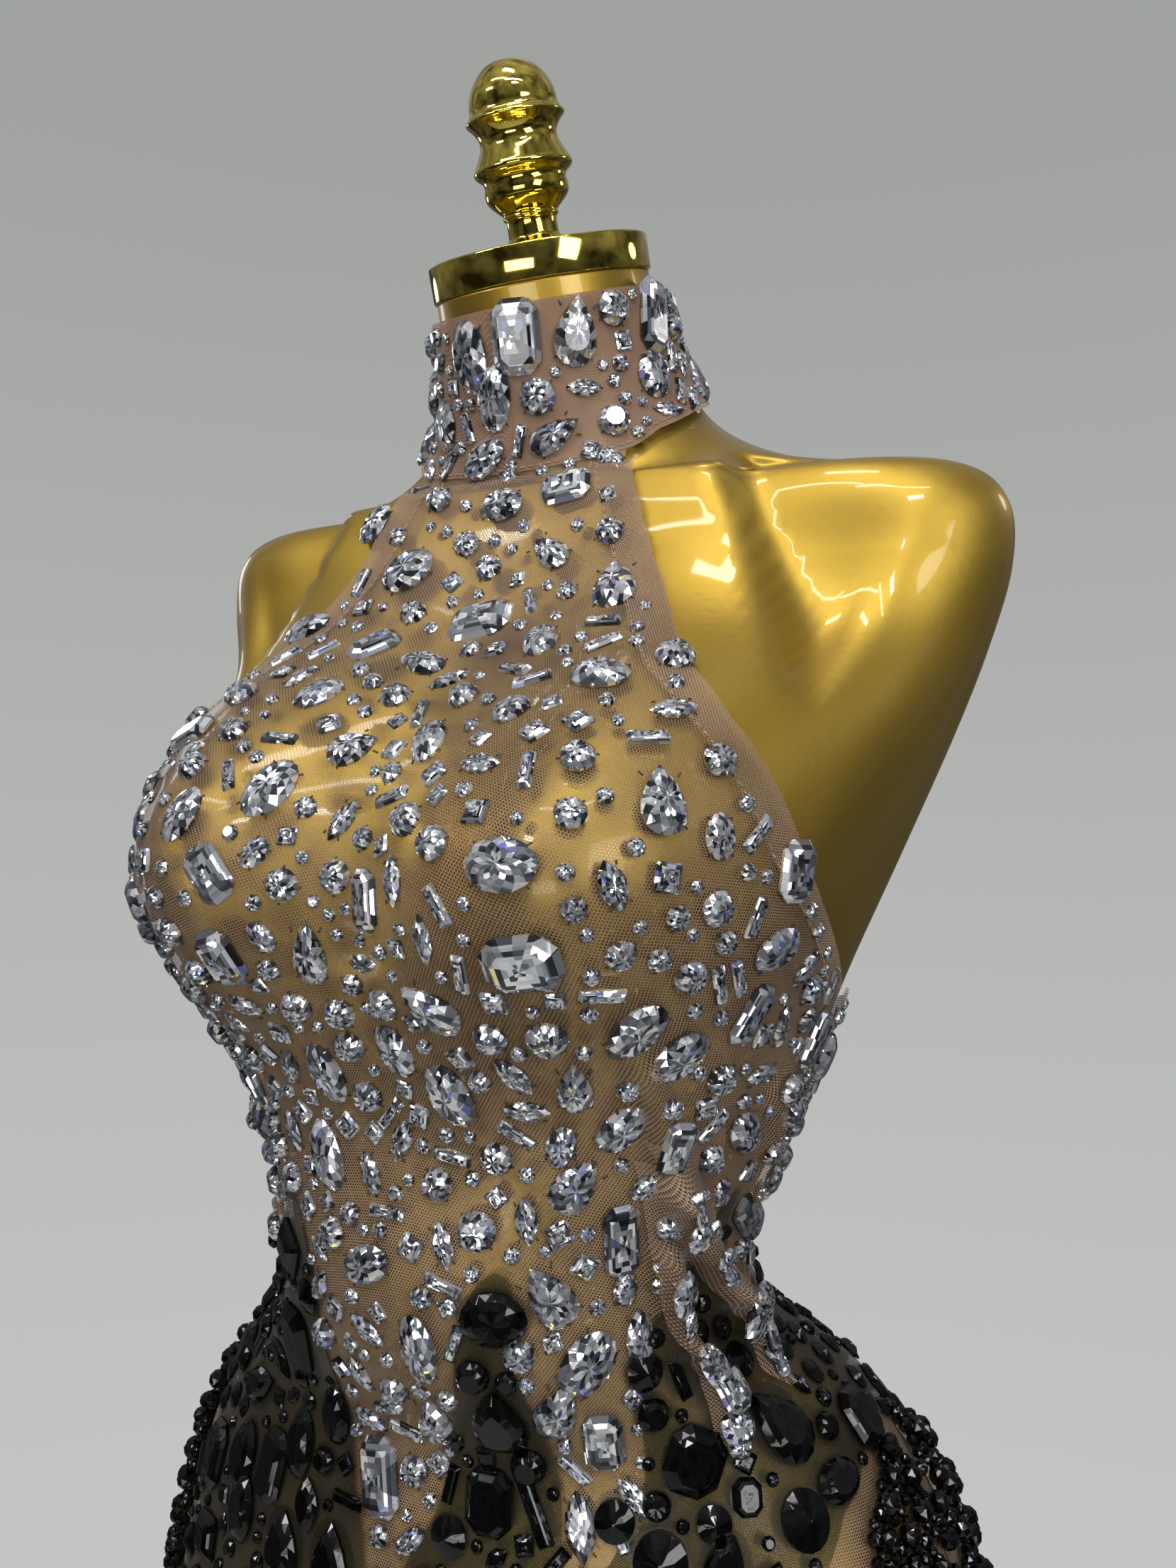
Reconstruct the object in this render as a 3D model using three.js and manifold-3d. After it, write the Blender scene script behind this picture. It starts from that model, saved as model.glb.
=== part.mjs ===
// A beaded halter mini dress worn by a limbless dress form on a round stand.
// Millimetres, +Z up. The origin is the centre of the base's underside.
// The dress faces -Y and the wearer's left is +X.
import * as THREE from 'three';
import { mergeVertices } from 'three/addons/utils/BufferGeometryUtils.js';
import Module from 'manifold-3d';

const wasm = await Module();
wasm.setup();

// ---- driving dimensions ----
const WAIST_HEIGHT = 1040;
const SEAT_GAP = 0.3;       // between pieces that touch
const CLOTH_CLEARANCE = 2.5; // stretch mesh over the form, to the inner face
const CLOTH = 1.6;          // wall of the mesh with its backing of thread and glue
const OVERLAY_CLEARANCE = 2.9;
const OVERLAY = 1.3;        // black mesh laid on the skirt
const CLEAR_STONE_RISE = 4.5;
const JET_STONE_RISE = 4;

// The form's level sections, from its foot up. Each row's number is its station.
// height is from the waist; half is half the width; front and back are depths from
// the section's centre; power 2 is an ellipse and more is squarer; shift moves the
// centre back; lean tips the section forward, in degrees.
const SECTIONS = [
  // height, half, front, back, power, shift, lean
  [-430, 148, 94, 93, 2.2, 7, 0],
  [-380, 161, 98, 104, 2.2, 8, 0],
  [-320, 175, 101, 120, 2.2, 10, 0],
  [-257, 186, 102, 134, 2.2, 11, 0],
  [-193, 190, 103, 141, 2.2, 13, 0],
  [-136, 187, 106, 136, 2.2, 14, 0],
  [-78, 173, 104, 121, 2.2, 15, 0],
  [-28, 142, 96, 96, 2.1, 9, 0],
  [10, 103, 95, 71, 2.1, -11, 0],
  [50, 99, 96, 63, 2.1, -17, 0],
  [97, 118, 95, 68, 2.15, -11, 0],
  [148, 136, 98, 78, 2.2, -6, 0],
  [200, 157, 97, 87, 2.25, 2, 0],
  [250, 177, 88, 90, 2.3, 10, 0],
  [288, 190, 74, 87, 2.3, 18, 0],
  [320, 199, 66, 83, 2.25, 18, 0],
  [344, 198, 61, 76, 2.2, 16, 1],
  [358, 182, 56, 69, 2.1, 14, 3],
  [364, 141, 52, 63, 2.05, 12, 8],
  [371, 101, 50, 58, 2, 11, 18],
  [384, 75, 49, 54, 2, 9, 22],
  [402, 61, 49, 51, 2, 6, 23],
  [423, 54, 49, 49, 2, 0, 23],
  [443, 50.5, 47, 47, 2, -9, 23],
  [463, 48.5, 45.5, 45.5, 2, -18, 23],
];
const COLUMNS = ['height', 'half', 'front', 'back', 'power', 'shift', 'lean'];
const TOP_STATION = SECTIONS.length - 1;

const BUST = { x: 85, height: 197, depth: 73, outer: 55, inner: 46, above: 67, below: 59, round: 12 };
const BUST_BRIDGE = 2.1; // the cloth spans the hollow between, so its inner slope is wider

// The hollow between the chest and each shoulder, a scoop that narrows to a foot below.
// Its corners are given as x and height.
const HOLLOW = {
  chestTop: [88, 365],
  armTop: [141, 328],
  foot: [122, 272],
  depth: 12,
  rim: 14,      // width of the slope down from each edge
  reach: 34,    // how far it takes to run out towards the shoulder
  ceiling: 374, // height of the collarbone's ridge
};

// Stations of the dress's edges, and the rows that every panel has below the underarm.
const HEM_STATION = 0.6;
const UNDERARM_STATION = 11;
const ROWS = [
  // station at the top, rows up to it
  [5.4, 7],
  [7, 5],
  [9, 8],
  [UNDERARM_STATION, 5],
];
const BACK_NECK_STATION = 10.6;
const COLLAR_TOP_STATION = 23.5;
const COLLAR_FOOT = [
  // angle from the front, station
  [0, 19.6],
  [25, 19.65],
  [41, 19.8],
  [55, 20.2],
  [80, 20.5],
  [125, 20.7],
  [180, 20.8],
];
// The front's half angle at each station: the side seam, then the halter's armhole.
const FRONT_EDGE = [
  // station, angle
  [0, 89.8],
  [10.6, 89.8],
  [11, 88],
  [11.35, 80],
  [11.85, 69],
  [12.4, 56],
  [12.9, 43.5],
  [13.3, 35.5],
  [13.7, 30],
  [14.1, 26.5],
  [14.8, 22.5],
  [15.5, 20],
  [16.3, 19],
  [17, 20],
  [18, 25],
  [19, 33],
  [19.8, 41],
];
// The overlay's half angle: it leaves each hip bare under the bead strings.
const OVERLAY_EDGE = [
  // station, angle
  [0, 89.75],
  [2, 89.75],
  [2.7, 78],
  [3.5, 65],
  [4.5, 56],
  [5.5, 54],
  [6.3, 57],
  [6.6, 66],
  [6.9, 82],
  [7.05, 89.75],
  [12, 89.75],
];
// The overlay's upper edge: black lobes rise and bare fingers hang between them.
// Angles are those of the level FAN.station, from which the front's lobes spread to the
// wearer's left: by FAN.spread of the angle from FAN.from up to FAN.to, for each station.
// The angles are also those of the overlay's columns.
const FAN = { station: 6, from: -5, to: 27, spread: 0.42 };
const OVERLAY_TOP = [
  // angle, station
  [-90, 8.2],
  [-82.5, 8.35],
  [-75, 8.5],
  [-67.5, 8.8],
  [-60, 8.9],
  [-52.5, 8.6],
  [-45, 8.7],
  [-38, 9.1],
  [-31, 9.3],
  [-26, 9],
  [-22, 8],
  [-18, 7.4],
  [-10, 6.3],
  [-5, 5.6],
  [1, 6.6],
  [3, 7.4],
  [4, 7.9],
  [5, 8.4],
  [7.5, 8.95],
  [10, 8.75],
  [11, 8.2],
  [12, 7.6],
  [14, 6.75],
  [18, 5.9],
  [21.5, 6.5],
  [23.5, 7.2],
  [24.5, 7.8],
  [25.5, 8.4],
  [28, 8.8],
  [34, 8.9],
  [40, 8.75],
  [46, 8.6],
  [53, 8.55],
  [60, 8.5],
  [67.5, 8.45],
  [75, 8.4],
  [82.5, 8.3],
  [90, 8.2],
];
const BACK_OVERLAY_TOP = [
  // angle from the centre back, station
  [-90, 8.2],
  [-66, 8.8],
  [-50, 7.4],
  [-34, 8.9],
  [-16, 7.2],
  [0, 9],
  [16, 7.2],
  [34, 8.9],
  [50, 7.4],
  [66, 8.8],
  [90, 8.2],
];

// Pinched folds of the cloth at the waist: a ridge from one place to another.
const FOLDS = [
  // station and angle at each end, height, half width
  { s1: 10, a1: 43, s2: 9.3, a2: 58, height: 4, reach: 9 },
  { s1: 9.3, a1: 58, s2: 8.3, a2: 82, height: 5, reach: 10 },
  { s1: 9.7, a1: 70, s2: 9, a2: 88, height: 4, reach: 8 },
  { s1: 9.8, a1: -66, s2: 8.9, a2: -80, height: 4, reach: 9 },
  { s1: 8.8, a1: -50, s2: 8.2, a2: -72, height: 3.5, reach: 9 },
];

// The largest clear stones: station and angle of the centre, length and width,
// and the turn of the long way from upright, in degrees towards the wearer's left.
const CLEAR_STONES = [
  // station, angle, length, width, turn
  [22.9, 11, 25, 15, 0],
  [22.6, -14, 26, 14, 8],
  [22.8, 37, 24, 17, 0],
  [22.95, 80, 27, 13, 0],
  [21.5, 67, 20, 14, 0],
  [20.75, -56, 22, 13, 15],
  [21.7, -5, 24, 15, 10],
  [16.15, 0, 21, 16, 90],
  [16.1, -18, 22, 13, 25],
  [14.95, -10, 23, 19, 60],
  [14.4, 16, 22, 18, -10],
  [14.05, 1, 25, 18, 80],
  [13.2, 24, 21, 14, 95],
  [14.15, -23.5, 24, 15, 55],
  [13.15, -11, 22, 15, 40],
  [12.65, -3, 20, 17, 60],
  [12.35, -10, 27, 18, 25],
  [12.3, 40, 24, 19, 0],
  [12.15, -1, 18, 9, 25],
  [11.9, 25, 25, 18, 90],
  [11.65, 4, 22, 12, 0],
  [11.8, 39, 18, 10, -25],
  [11.9, 63, 22, 16, 0],
  [11.35, 29, 26, 21, 80],
  [11.25, -19, 24, 17, -15],
  [11.3, -5, 25, 15, 0],
  [11.45, 14, 19, 8, 5],
  [11, 13, 25, 18, -50],
  [10.9, 45, 26, 17, 30],
  [10.7, 52, 24, 17, 35],
  [10.95, 65, 24, 12, 18],
  [10.65, 83, 25, 14, 12],
  [10.4, -10, 27, 15, -10],
  [10.35, 12, 27, 18, -15],
  [10.55, 24, 19, 10, -35],
  [10, 31, 18, 11, 15],
  [9.7, 35, 24, 18, 35],
  [10.05, 52, 23, 12, 5],
  [9.7, -15, 28, 16, -20],
  [8.8, 34, 26, 19, -35],
  [8.2, 5, 29, 15, -5],
  [8.15, 40, 26, 19, 35],
  [7.35, 3, 23, 18, 0],
  [7.7, 29, 24, 18, 20],
  [6.6, -7, 30, 18, -10],
  [6.6, 22, 25, 12, -10],
];
// The largest jet stones, on the front overlay.
const JET_STONES = [
  // station, angle, length, width, turn
  [8.3, 22, 18, 18, 0],
  [7.3, 17, 22, 20, 0],
  [7.5, 66, 28, 20, 20],
  [7, 52, 24, 20, 90],
  [6.3, 12, 22, 18, 0],
  [6.4, 44, 20, 20, 0],
  [7.6, -34, 26, 16, 160],
  [7, -24, 26, 17, 0],
  [6.4, -33, 26, 18, 10],
  [6, -14, 28, 20, 0],
  [5.4, 4, 26, 18, 30],
  [5.5, 26, 24, 20, 120],
  [5.2, -28, 26, 18, 0],
  [4.8, 42, 28, 18, 160],
  [4.5, -10, 26, 20, 90],
  [4.2, 14, 28, 18, 15],
  [3.9, -36, 26, 18, 30],
  [3.6, 34, 26, 18, 90],
  [3.2, -20, 28, 18, 160],
  [3, 4, 26, 20, 0],
  [2.5, 30, 28, 18, 30],
  [2.2, -40, 26, 18, 0],
  [2, -8, 28, 18, 90],
  [1.6, 20, 26, 18, 0],
  [1.3, -28, 26, 18, 60],
  [1.2, 46, 26, 18, 20],
];

// Strings of beads over each hip, nested one below the other.
const SWAG = { strings: 7, steps: 8, bead: 5.6, stand: 2.4 }; // stand is over the strip's middle
const SWAG_FRONT = [[6.95, 83], [6.5, 63], [5.6, 53], [4.7, 53.5]]; // station, angle
const SWAG_BACK = [[6.95, 103], [6.5, 119], [5.6, 129], [4.7, 130]];
const SWAG_STRIP = { width: 7, thickness: 1.8, steps: 7, lift: 1.6 }; // lift is over the overlay

const CAP = { radius: 50, thickness: 15, bevel: 1.5 };
const FINIAL = [
  // radius, height on the cap
  [0, 0],
  [15.5, 0],
  [15.5, 3.5],
  [12, 5.5],
  [11.5, 10],
  [13.5, 13.5],
  [19, 19],
  [20, 25],
  [19.5, 29],
  [23, 32],
  [19, 37],
  [18, 44],
  [19.5, 48],
  [23, 51.5],
  [20.5, 55],
  [20, 59],
  [18.2, 66],
  [13.8, 72.4],
  [7.5, 76.6],
  [0, 78],
];
const BASE = { radius: 165, thickness: 12, bevel: 3, hubRadius: 28, hubHeight: 24 };
const POLE = { radius: 13, flangeRadius: 45, flange: 6 };

// ---- surfaces ----
const radians = THREE.MathUtils.degToRad;
const clamp01 = (t) => Math.min(Math.max(t, 0), 1);
const smooth = (t) => clamp01(t) ** 2 * (3 - 2 * clamp01(t));

function catmullRom(a, b, c, d, t) {
  const curve = 2 * b + (c - a) * t + (2 * a - 5 * b + 4 * c - d) * t ** 2;
  return (curve + (3 * b - a - 3 * c + d) * t ** 3) / 2;
}

function sectionAt(station) {
  const below = Math.min(Math.floor(station), TOP_STATION - 1);
  const row = (k) => SECTIONS[Math.min(Math.max(k, 0), TOP_STATION)];
  const section = {};
  COLUMNS.forEach((name, c) => {
    const [a, b, d, e] = [-1, 0, 1, 2].map((k) => row(below + k)[c]);
    section[name] = catmullRom(a, b, d, e, station - below);
  });
  return section;
}

// The value at x of a table of [x, value] rows, on straight lines between them.
function fromTable(table, x) {
  const last = table.length - 1;
  if (x <= table[0][0]) return table[0][1];
  if (x >= table[last][0]) return table[last][1];
  const k = table.findIndex((row) => row[0] > x);
  const [x0, y0] = table[k - 1];
  const [x1, y1] = table[k];
  return y0 + ((y1 - y0) * (x - x0)) / (x1 - x0);
}

function bustDepth(x, height, worn) {
  const side = Math.hypot(x, BUST.round) - BUST.x;
  const reachAcross = side > 0 ? BUST.outer : BUST.inner * (worn ? BUST_BRIDGE : 1);
  const up = height - BUST.height;
  const reachUp = up > 0 ? BUST.above : BUST.below;
  return BUST.depth * Math.exp(-0.65 * ((side / reachAcross) ** 2 + (up / reachUp) ** 2));
}

// How far a place lies to the right of the line from one corner up to another.
function rightOf([x1, z1], [x2, z2], x, height) {
  return ((x - x1) * (z2 - z1) - (height - z1) * (x2 - x1)) / Math.hypot(x2 - x1, z2 - z1);
}

function hollowDepth(x, height) {
  const fromChest = rightOf(HOLLOW.foot, HOLLOW.chestTop, Math.abs(x), height);
  const fromArm = -rightOf(HOLLOW.foot, HOLLOW.armTop, Math.abs(x), height);
  const rims = smooth(fromChest / HOLLOW.rim) * smooth(fromArm / HOLLOW.rim);
  const below = smooth((HOLLOW.ceiling - height) / HOLLOW.rim);
  return HOLLOW.depth * rims * below * Math.exp(-((fromChest / HOLLOW.reach) ** 2));
}

// A point of the form, or of the cloth's rest surface where it is worn over it.
function skin(station, angle, worn = false) {
  const s = sectionAt(station);
  const side = Math.sin(radians(angle));
  const ahead = Math.cos(radians(angle));
  const x = s.half * Math.sign(side) * Math.abs(side) ** (2 / s.power);
  const depth = ahead > 0 ? s.front : s.back;
  let y = s.shift - depth * Math.sign(ahead) * Math.abs(ahead) ** (2 / s.power);
  const height = s.height + Math.tan(radians(s.lean)) * y;
  const facing = smooth(ahead * 2.2);
  y -= facing * bustDepth(x, height, worn);
  if (!worn) y += facing * hollowDepth(x, height);
  return new THREE.Vector3(x, y, WAIST_HEIGHT + height);
}

function outward(station, angle, worn) {
  const ds = 0.02;
  const da = 0.5;
  const across = skin(station, angle + da, worn).sub(skin(station, angle - da, worn));
  const up = skin(station + ds, angle, worn).sub(skin(station - ds, angle, worn));
  return across.cross(up).normalize();
}

// A point of the worn cloth, moved out from the form's surface.
function worn(station, angle, distance) {
  return skin(station, angle, true).addScaledVector(outward(station, angle, true), distance);
}

// The fan moves a front overlay's angle over by this much at a station.
function fanned(middle, station) {
  const widest = FAN.spread * (FAN.to - FAN.from);
  const within = FAN.spread * Math.max(middle - FAN.from, 0);
  const beyond = (widest * (90 - middle)) / (90 - FAN.to);
  return (middle > FAN.to ? beyond : within) * Math.max(station - FAN.station, 0);
}

// The overlay's upper edge above a place on the front.
function overlayTopAt(angle, station) {
  let [low, high] = [-90, 90];
  while (high - low > 0.1) {
    const middle = (low + high) / 2;
    if (middle + fanned(middle, station) < angle) low = middle;
    else high = middle;
  }
  return fromTable(OVERLAY_TOP, low);
}

function foldHeight(station, angle) {
  const here = skin(station, angle, true);
  let height = 0;
  for (const fold of FOLDS) {
    const start = skin(fold.s1, fold.a1, true);
    const end = skin(fold.s2, fold.a2, true);
    const line = new THREE.Line3(start, end);
    const nearest = line.closestPointToPoint(here, true, new THREE.Vector3());
    height += fold.height * Math.exp(-((here.distanceTo(nearest) / fold.reach) ** 2));
  }
  return height;
}

// Stones as places on the cloth, each with its two half axes in space.
function placeStones(table) {
  return table.map(([station, angle, length, width, turn]) => {
    const centre = skin(station, angle, true);
    const normal = outward(station, angle, true);
    const up = new THREE.Vector3(0, 0, 1).projectOnPlane(normal).normalize();
    up.applyAxisAngle(normal, -radians(turn));
    const across = up.clone().cross(normal);
    return { centre, up: up.divideScalar(length / 2), across: across.divideScalar(width / 2) };
  });
}

const clearStones = placeStones(CLEAR_STONES);
const jetStones = placeStones(JET_STONES);

// How far the stones stand out here: a raised table with a sloping rim.
function stoneRise(station, angle, stones, rise) {
  const here = skin(station, angle, true);
  let height = 0;
  for (const stone of stones) {
    const away = here.clone().sub(stone.centre);
    const far = Math.hypot(away.dot(stone.up), away.dot(stone.across));
    height = Math.max(height, rise * smooth((1.35 - far) / 0.6));
  }
  return height;
}

// ---- meshes ----
function geometryOf(points, triangles) {
  const geometry = new THREE.BufferGeometry();
  const flat = points.flatMap((p) => [p.x, p.y, p.z]);
  geometry.setAttribute('position', new THREE.Float32BufferAttribute(flat, 3));
  geometry.setIndex(triangles.flat());
  geometry.computeVertexNormals();
  return geometry;
}

// A wall of cloth. outer(i, j) and inner(i, j) give its points for rows going up and
// columns going round to the wearer's left. The inner face may leave rows out, so
// innerRows lists those that it has. A ring has its last column at its first one.
function wall(rows, columns, outer, inner, innerRows, ring = false) {
  const points = [];
  const triangles = [];
  const grid = (lines, at) => lines.map((i) => {
    const line = [];
    for (let j = 0; j < columns + (ring ? 0 : 1); j += 1) line.push(points.push(at(i, j)) - 1);
    if (ring) line.push(line[0]);
    return line;
  });
  const face = (index, flip) => {
    for (let i = 0; i + 1 < index.length; i += 1) {
      for (let j = 0; j + 1 < index[0].length; j += 1) {
        const [a, b, c, d] = [index[i][j], index[i][j + 1], index[i + 1][j + 1], index[i + 1][j]];
        const pair = (i + j) % 2 ? [[a, b, c], [a, c, d]] : [[a, b, d], [b, c, d]];
        for (const t of pair) triangles.push(flip ? [t[0], t[2], t[1]] : t);
      }
    }
  };
  const allRows = Array.from({ length: rows + 1 }, (_, i) => i);
  const front = grid(allRows, outer);
  const behind = grid(innerRows, inner);
  face(front, false);
  face(behind, true);
  // joins an edge of the outer face to the inner one's, whose points are at marks
  const rim = (far, near, marks) => {
    for (let k = 0; k + 1 < near.length; k += 1) {
      for (let m = marks[k]; m < marks[k + 1]; m += 1) triangles.push([far[m + 1], far[m], near[k]]);
      triangles.push([far[marks[k + 1]], near[k], near[k + 1]]);
    }
  };
  const every = Array.from({ length: columns + 1 }, (_, j) => j);
  rim(front[0], behind[0], every);
  rim([...front.at(-1)].reverse(), [...behind.at(-1)].reverse(), every);
  if (!ring) {
    const column = (index, j) => index.map((line) => line.at(j));
    rim(column(front, -1), column(behind, -1), innerRows);
    const down = [...innerRows].reverse().map((i) => rows - i);
    rim(column(front, 0).reverse(), column(behind, 0).reverse(), down);
  }
  return geometryOf(points, triangles);
}

// Stations that part the way up the cloth at an angle into equal lengths.
function evenStations(from, to, count, angle) {
  const fine = 400;
  const lengths = [0];
  let last = skin(from, angle, true);
  for (let k = 1; k <= fine; k += 1) {
    const next = skin(from + ((to - from) * k) / fine, angle, true);
    lengths.push(lengths[k - 1] + next.distanceTo(last));
    last = next;
  }
  return Array.from({ length: count + 1 }, (_, n) => {
    const wanted = (lengths[fine] * n) / count;
    const k = Math.max(1, lengths.findIndex((l) => l >= wanted - 1e-9));
    const part = (wanted - lengths[k - 1]) / (lengths[k] - lengths[k - 1]);
    return from + ((to - from) * (k - 1 + part)) / fine;
  });
}

const OUTER_FACE = CLOTH_CLEARANCE + CLOTH;
const OVERLAY_ROOM = { angle: 8, station: 0.6 }; // plain cloth round the overlay's edge
const range = (from, to, step = 1) =>
  Array.from({ length: Math.floor((to - from) / step) + 1 }, (_, k) => from + step * k);

// The stations of a panel's rows, from the hem. A last row stands for the edge.
function panelRows(groups) {
  const stations = [HEM_STATION];
  for (const [top, count] of groups) {
    const foot = stations.at(-1);
    for (let k = 1; k <= count; k += 1) stations.push(foot + ((top - foot) * k) / count);
  }
  return stations;
}

function dressFront() {
  // narrow rows above the underarm for the stones
  const halterRows = 18;
  const below = panelRows(ROWS);
  const halter = evenStations(UNDERARM_STATION, COLLAR_FOOT[0][1], halterRows, 12);
  const stations = [...below, ...halter.slice(1)];
  const rows = stations.length - 1;
  const columns = 24;
  const place = (i, j) => {
    const across = (2 * j) / columns - 1;
    const angle = across * fromTable(FRONT_EDGE, stations[i]);
    // the upper rows bend to meet the collar's seam
    const lift = smooth((stations[i] - 16) / 3.6) * (fromTable(COLLAR_FOOT, Math.abs(angle)) - 19.6);
    return [stations[i] + lift - 0.02 * smooth((stations[i] - 18) / 1.5), angle];
  };
  const outer = (i, j) => {
    const [station, angle] = place(i, j);
    // stones and folds stand out only where no overlay lies on the cloth
    const nearby = [-OVERLAY_ROOM.angle, 0, OVERLAY_ROOM.angle];
    const covered = Math.max(...nearby.map((d) => overlayTopAt(angle + d, station))) + OVERLAY_ROOM.station;
    const edge = i === 0 || i === rows || j === 0 || j === columns;
    if (edge || station < covered) return worn(station, angle, OUTER_FACE);
    const relief = stoneRise(station, angle, clearStones, CLEAR_STONE_RISE) + foldHeight(station, angle);
    return worn(station, angle, OUTER_FACE + relief);
  };
  const inner = (i, j) => worn(...place(i, j), CLOTH_CLEARANCE);
  // above the bust the inner face has every second row
  const bustTop = rows - 8;
  return wall(rows, columns, outer, inner, [...range(0, bustTop - 1), ...range(bustTop, rows, 2)]);
}

function dressBack() {
  const columns = 22;
  const below = panelRows(ROWS.slice(0, -1));
  const [, upperRows] = ROWS.at(-1);
  const rows = below.length - 1 + upperRows;
  const place = (i, j) => {
    const fromBack = (1 - (2 * j) / columns) * 89.8;
    const top = UNDERARM_STATION - (UNDERARM_STATION - BACK_NECK_STATION) * Math.cos(radians(fromBack));
    const foot = below.at(-1);
    const above = i - (below.length - 1);
    return [below[i] ?? foot + ((top - foot) * above) / upperRows, 180 - fromBack];
  };
  const outer = (i, j) => worn(...place(i, j), OUTER_FACE);
  const inner = (i, j) => worn(...place(i, j), CLOTH_CLEARANCE);
  return wall(rows, columns, outer, inner, range(0, rows));
}

function collar() {
  const rows = 6;
  const columns = 30;
  const place = (i, j) => {
    const angle = (360 * j) / columns - 180;
    const foot = fromTable(COLLAR_FOOT, Math.abs(angle)) + 0.06;
    return [foot + ((COLLAR_TOP_STATION - foot) * i) / rows, angle];
  };
  const outer = (i, j) => {
    const [station, angle] = place(i, j);
    const edge = i === 0 || i === rows;
    const relief = edge ? 0 : stoneRise(station, angle, clearStones, CLEAR_STONE_RISE);
    return worn(station, angle, OUTER_FACE + relief);
  };
  const inner = (i, j) => worn(...place(i, j), CLOTH_CLEARANCE);
  return wall(rows, columns, outer, inner, range(0, rows), true);
}

// Black mesh on the skirt. centre is 0 in front and 180 behind. It has the panels' own
// rows in as many of their groups as lie below its lobes, then lobeRows up to its edge.
// The outer face has parts times the rows in the first group, for the stones.
function overlay(centre, angles, groups, lobeRows, parts, topEdge, stones) {
  const columns = angles.length - 1;
  const shared = ROWS.slice(0, groups).map(([top, count], k) => [top, k ? count : count * parts]);
  const even = panelRows(shared);
  const evenRows = even.length - 1;
  const rows = evenRows + lobeRows;
  const place = (i, j) => {
    const middle = angles[j];
    const top = fromTable(topEdge, middle);
    const station = even[i] ?? even.at(-1) + ((top - even.at(-1)) * (i - evenRows)) / lobeRows;
    // the outer half of each side draws in where the hip is left bare
    const outer = Math.max(Math.abs(middle) / 45 - 1, 0);
    const drawnIn = outer * (fromTable(OVERLAY_EDGE, station) - 90) * Math.sign(middle);
    return [station, centre + middle + drawnIn + (centre ? 0 : fanned(middle, station))];
  };
  const inside = OUTER_FACE + OVERLAY_CLEARANCE;
  const outer = (i, j) => {
    const [station, angle] = place(i, j);
    const edge = i === 0 || i === rows || j === 0 || j === columns;
    const relief = edge ? 0 : stoneRise(station, angle, stones, JET_STONE_RISE);
    return worn(station, angle, inside + OVERLAY + relief);
  };
  const inner = (i, j) => worn(...place(i, j), inside);
  const coarse = ROWS[0][1] * parts;
  const innerRows = [...range(0, coarse - 1, parts), ...range(coarse, rows)];
  return wall(rows, columns, outer, inner, innerRows);
}

function solidOf(geometry) {
  const bare = geometry.index ? geometry.clone() : geometry;
  bare.deleteAttribute('normal');
  bare.deleteAttribute('uv');
  const merged = mergeVertices(bare, 1e-4);
  const vertProperties = new Float32Array(merged.attributes.position.array);
  const triVerts = new Uint32Array(merged.index.array);
  return new wasm.Manifold(new wasm.Mesh({ numProp: 3, vertProperties, triVerts }));
}

function geometryFrom(solid) {
  const mesh = solid.getMesh();
  const geometry = new THREE.BufferGeometry();
  geometry.setAttribute('position', new THREE.Float32BufferAttribute(mesh.vertProperties, 3));
  geometry.setIndex(Array.from(mesh.triVerts));
  geometry.computeVertexNormals();
  return geometry;
}

// A bar of four sides along a row of frames, each with a point and two half axes.
function bar(frames) {
  const points = [];
  const triangles = [];
  for (const { at, across, out } of frames) {
    const a = at.clone().add(across);
    const b = at.clone().add(out);
    const c = at.clone().sub(across);
    const d = at.clone().sub(out);
    points.push(a, b, c, d);
  }
  for (let i = 0; i + 1 < frames.length; i += 1) {
    for (let k = 0; k < 4; k += 1) {
      const [p, q] = [4 * i + k, 4 * i + ((k + 1) % 4)];
      triangles.push([p, q, q + 4], [p, q + 4, p + 4]);
    }
  }
  const end = points.length - 4;
  triangles.push([0, 2, 1], [0, 3, 2], [end, end + 1, end + 2], [end, end + 2, end + 3]);
  return geometryOf(points, triangles);
}

// Frames along places on the cloth, for a bar whose half sizes are given.
function framesAlong(places, distance, halfWidth, halfHeight) {
  const points = places.map(([station, angle]) => worn(station, angle, distance));
  return places.map(([station, angle], i) => {
    const before = points[Math.max(i - 1, 0)];
    const after = points[Math.min(i + 1, points.length - 1)];
    const along = after.clone().sub(before).normalize();
    const out = outward(station, angle, true);
    out.projectOnPlane(along).normalize();
    const across = out.clone().cross(along).normalize();
    return { at: points[i], across: across.multiplyScalar(halfWidth), out: out.multiplyScalar(halfHeight) };
  });
}

function placeAlong(rows, t) {
  const x = clamp01(t) * (rows.length - 1);
  const k = Math.min(Math.floor(x), rows.length - 2);
  return rows[k].map((value, c) => value + (rows[k + 1][c] - value) * (x - k));
}

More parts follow.
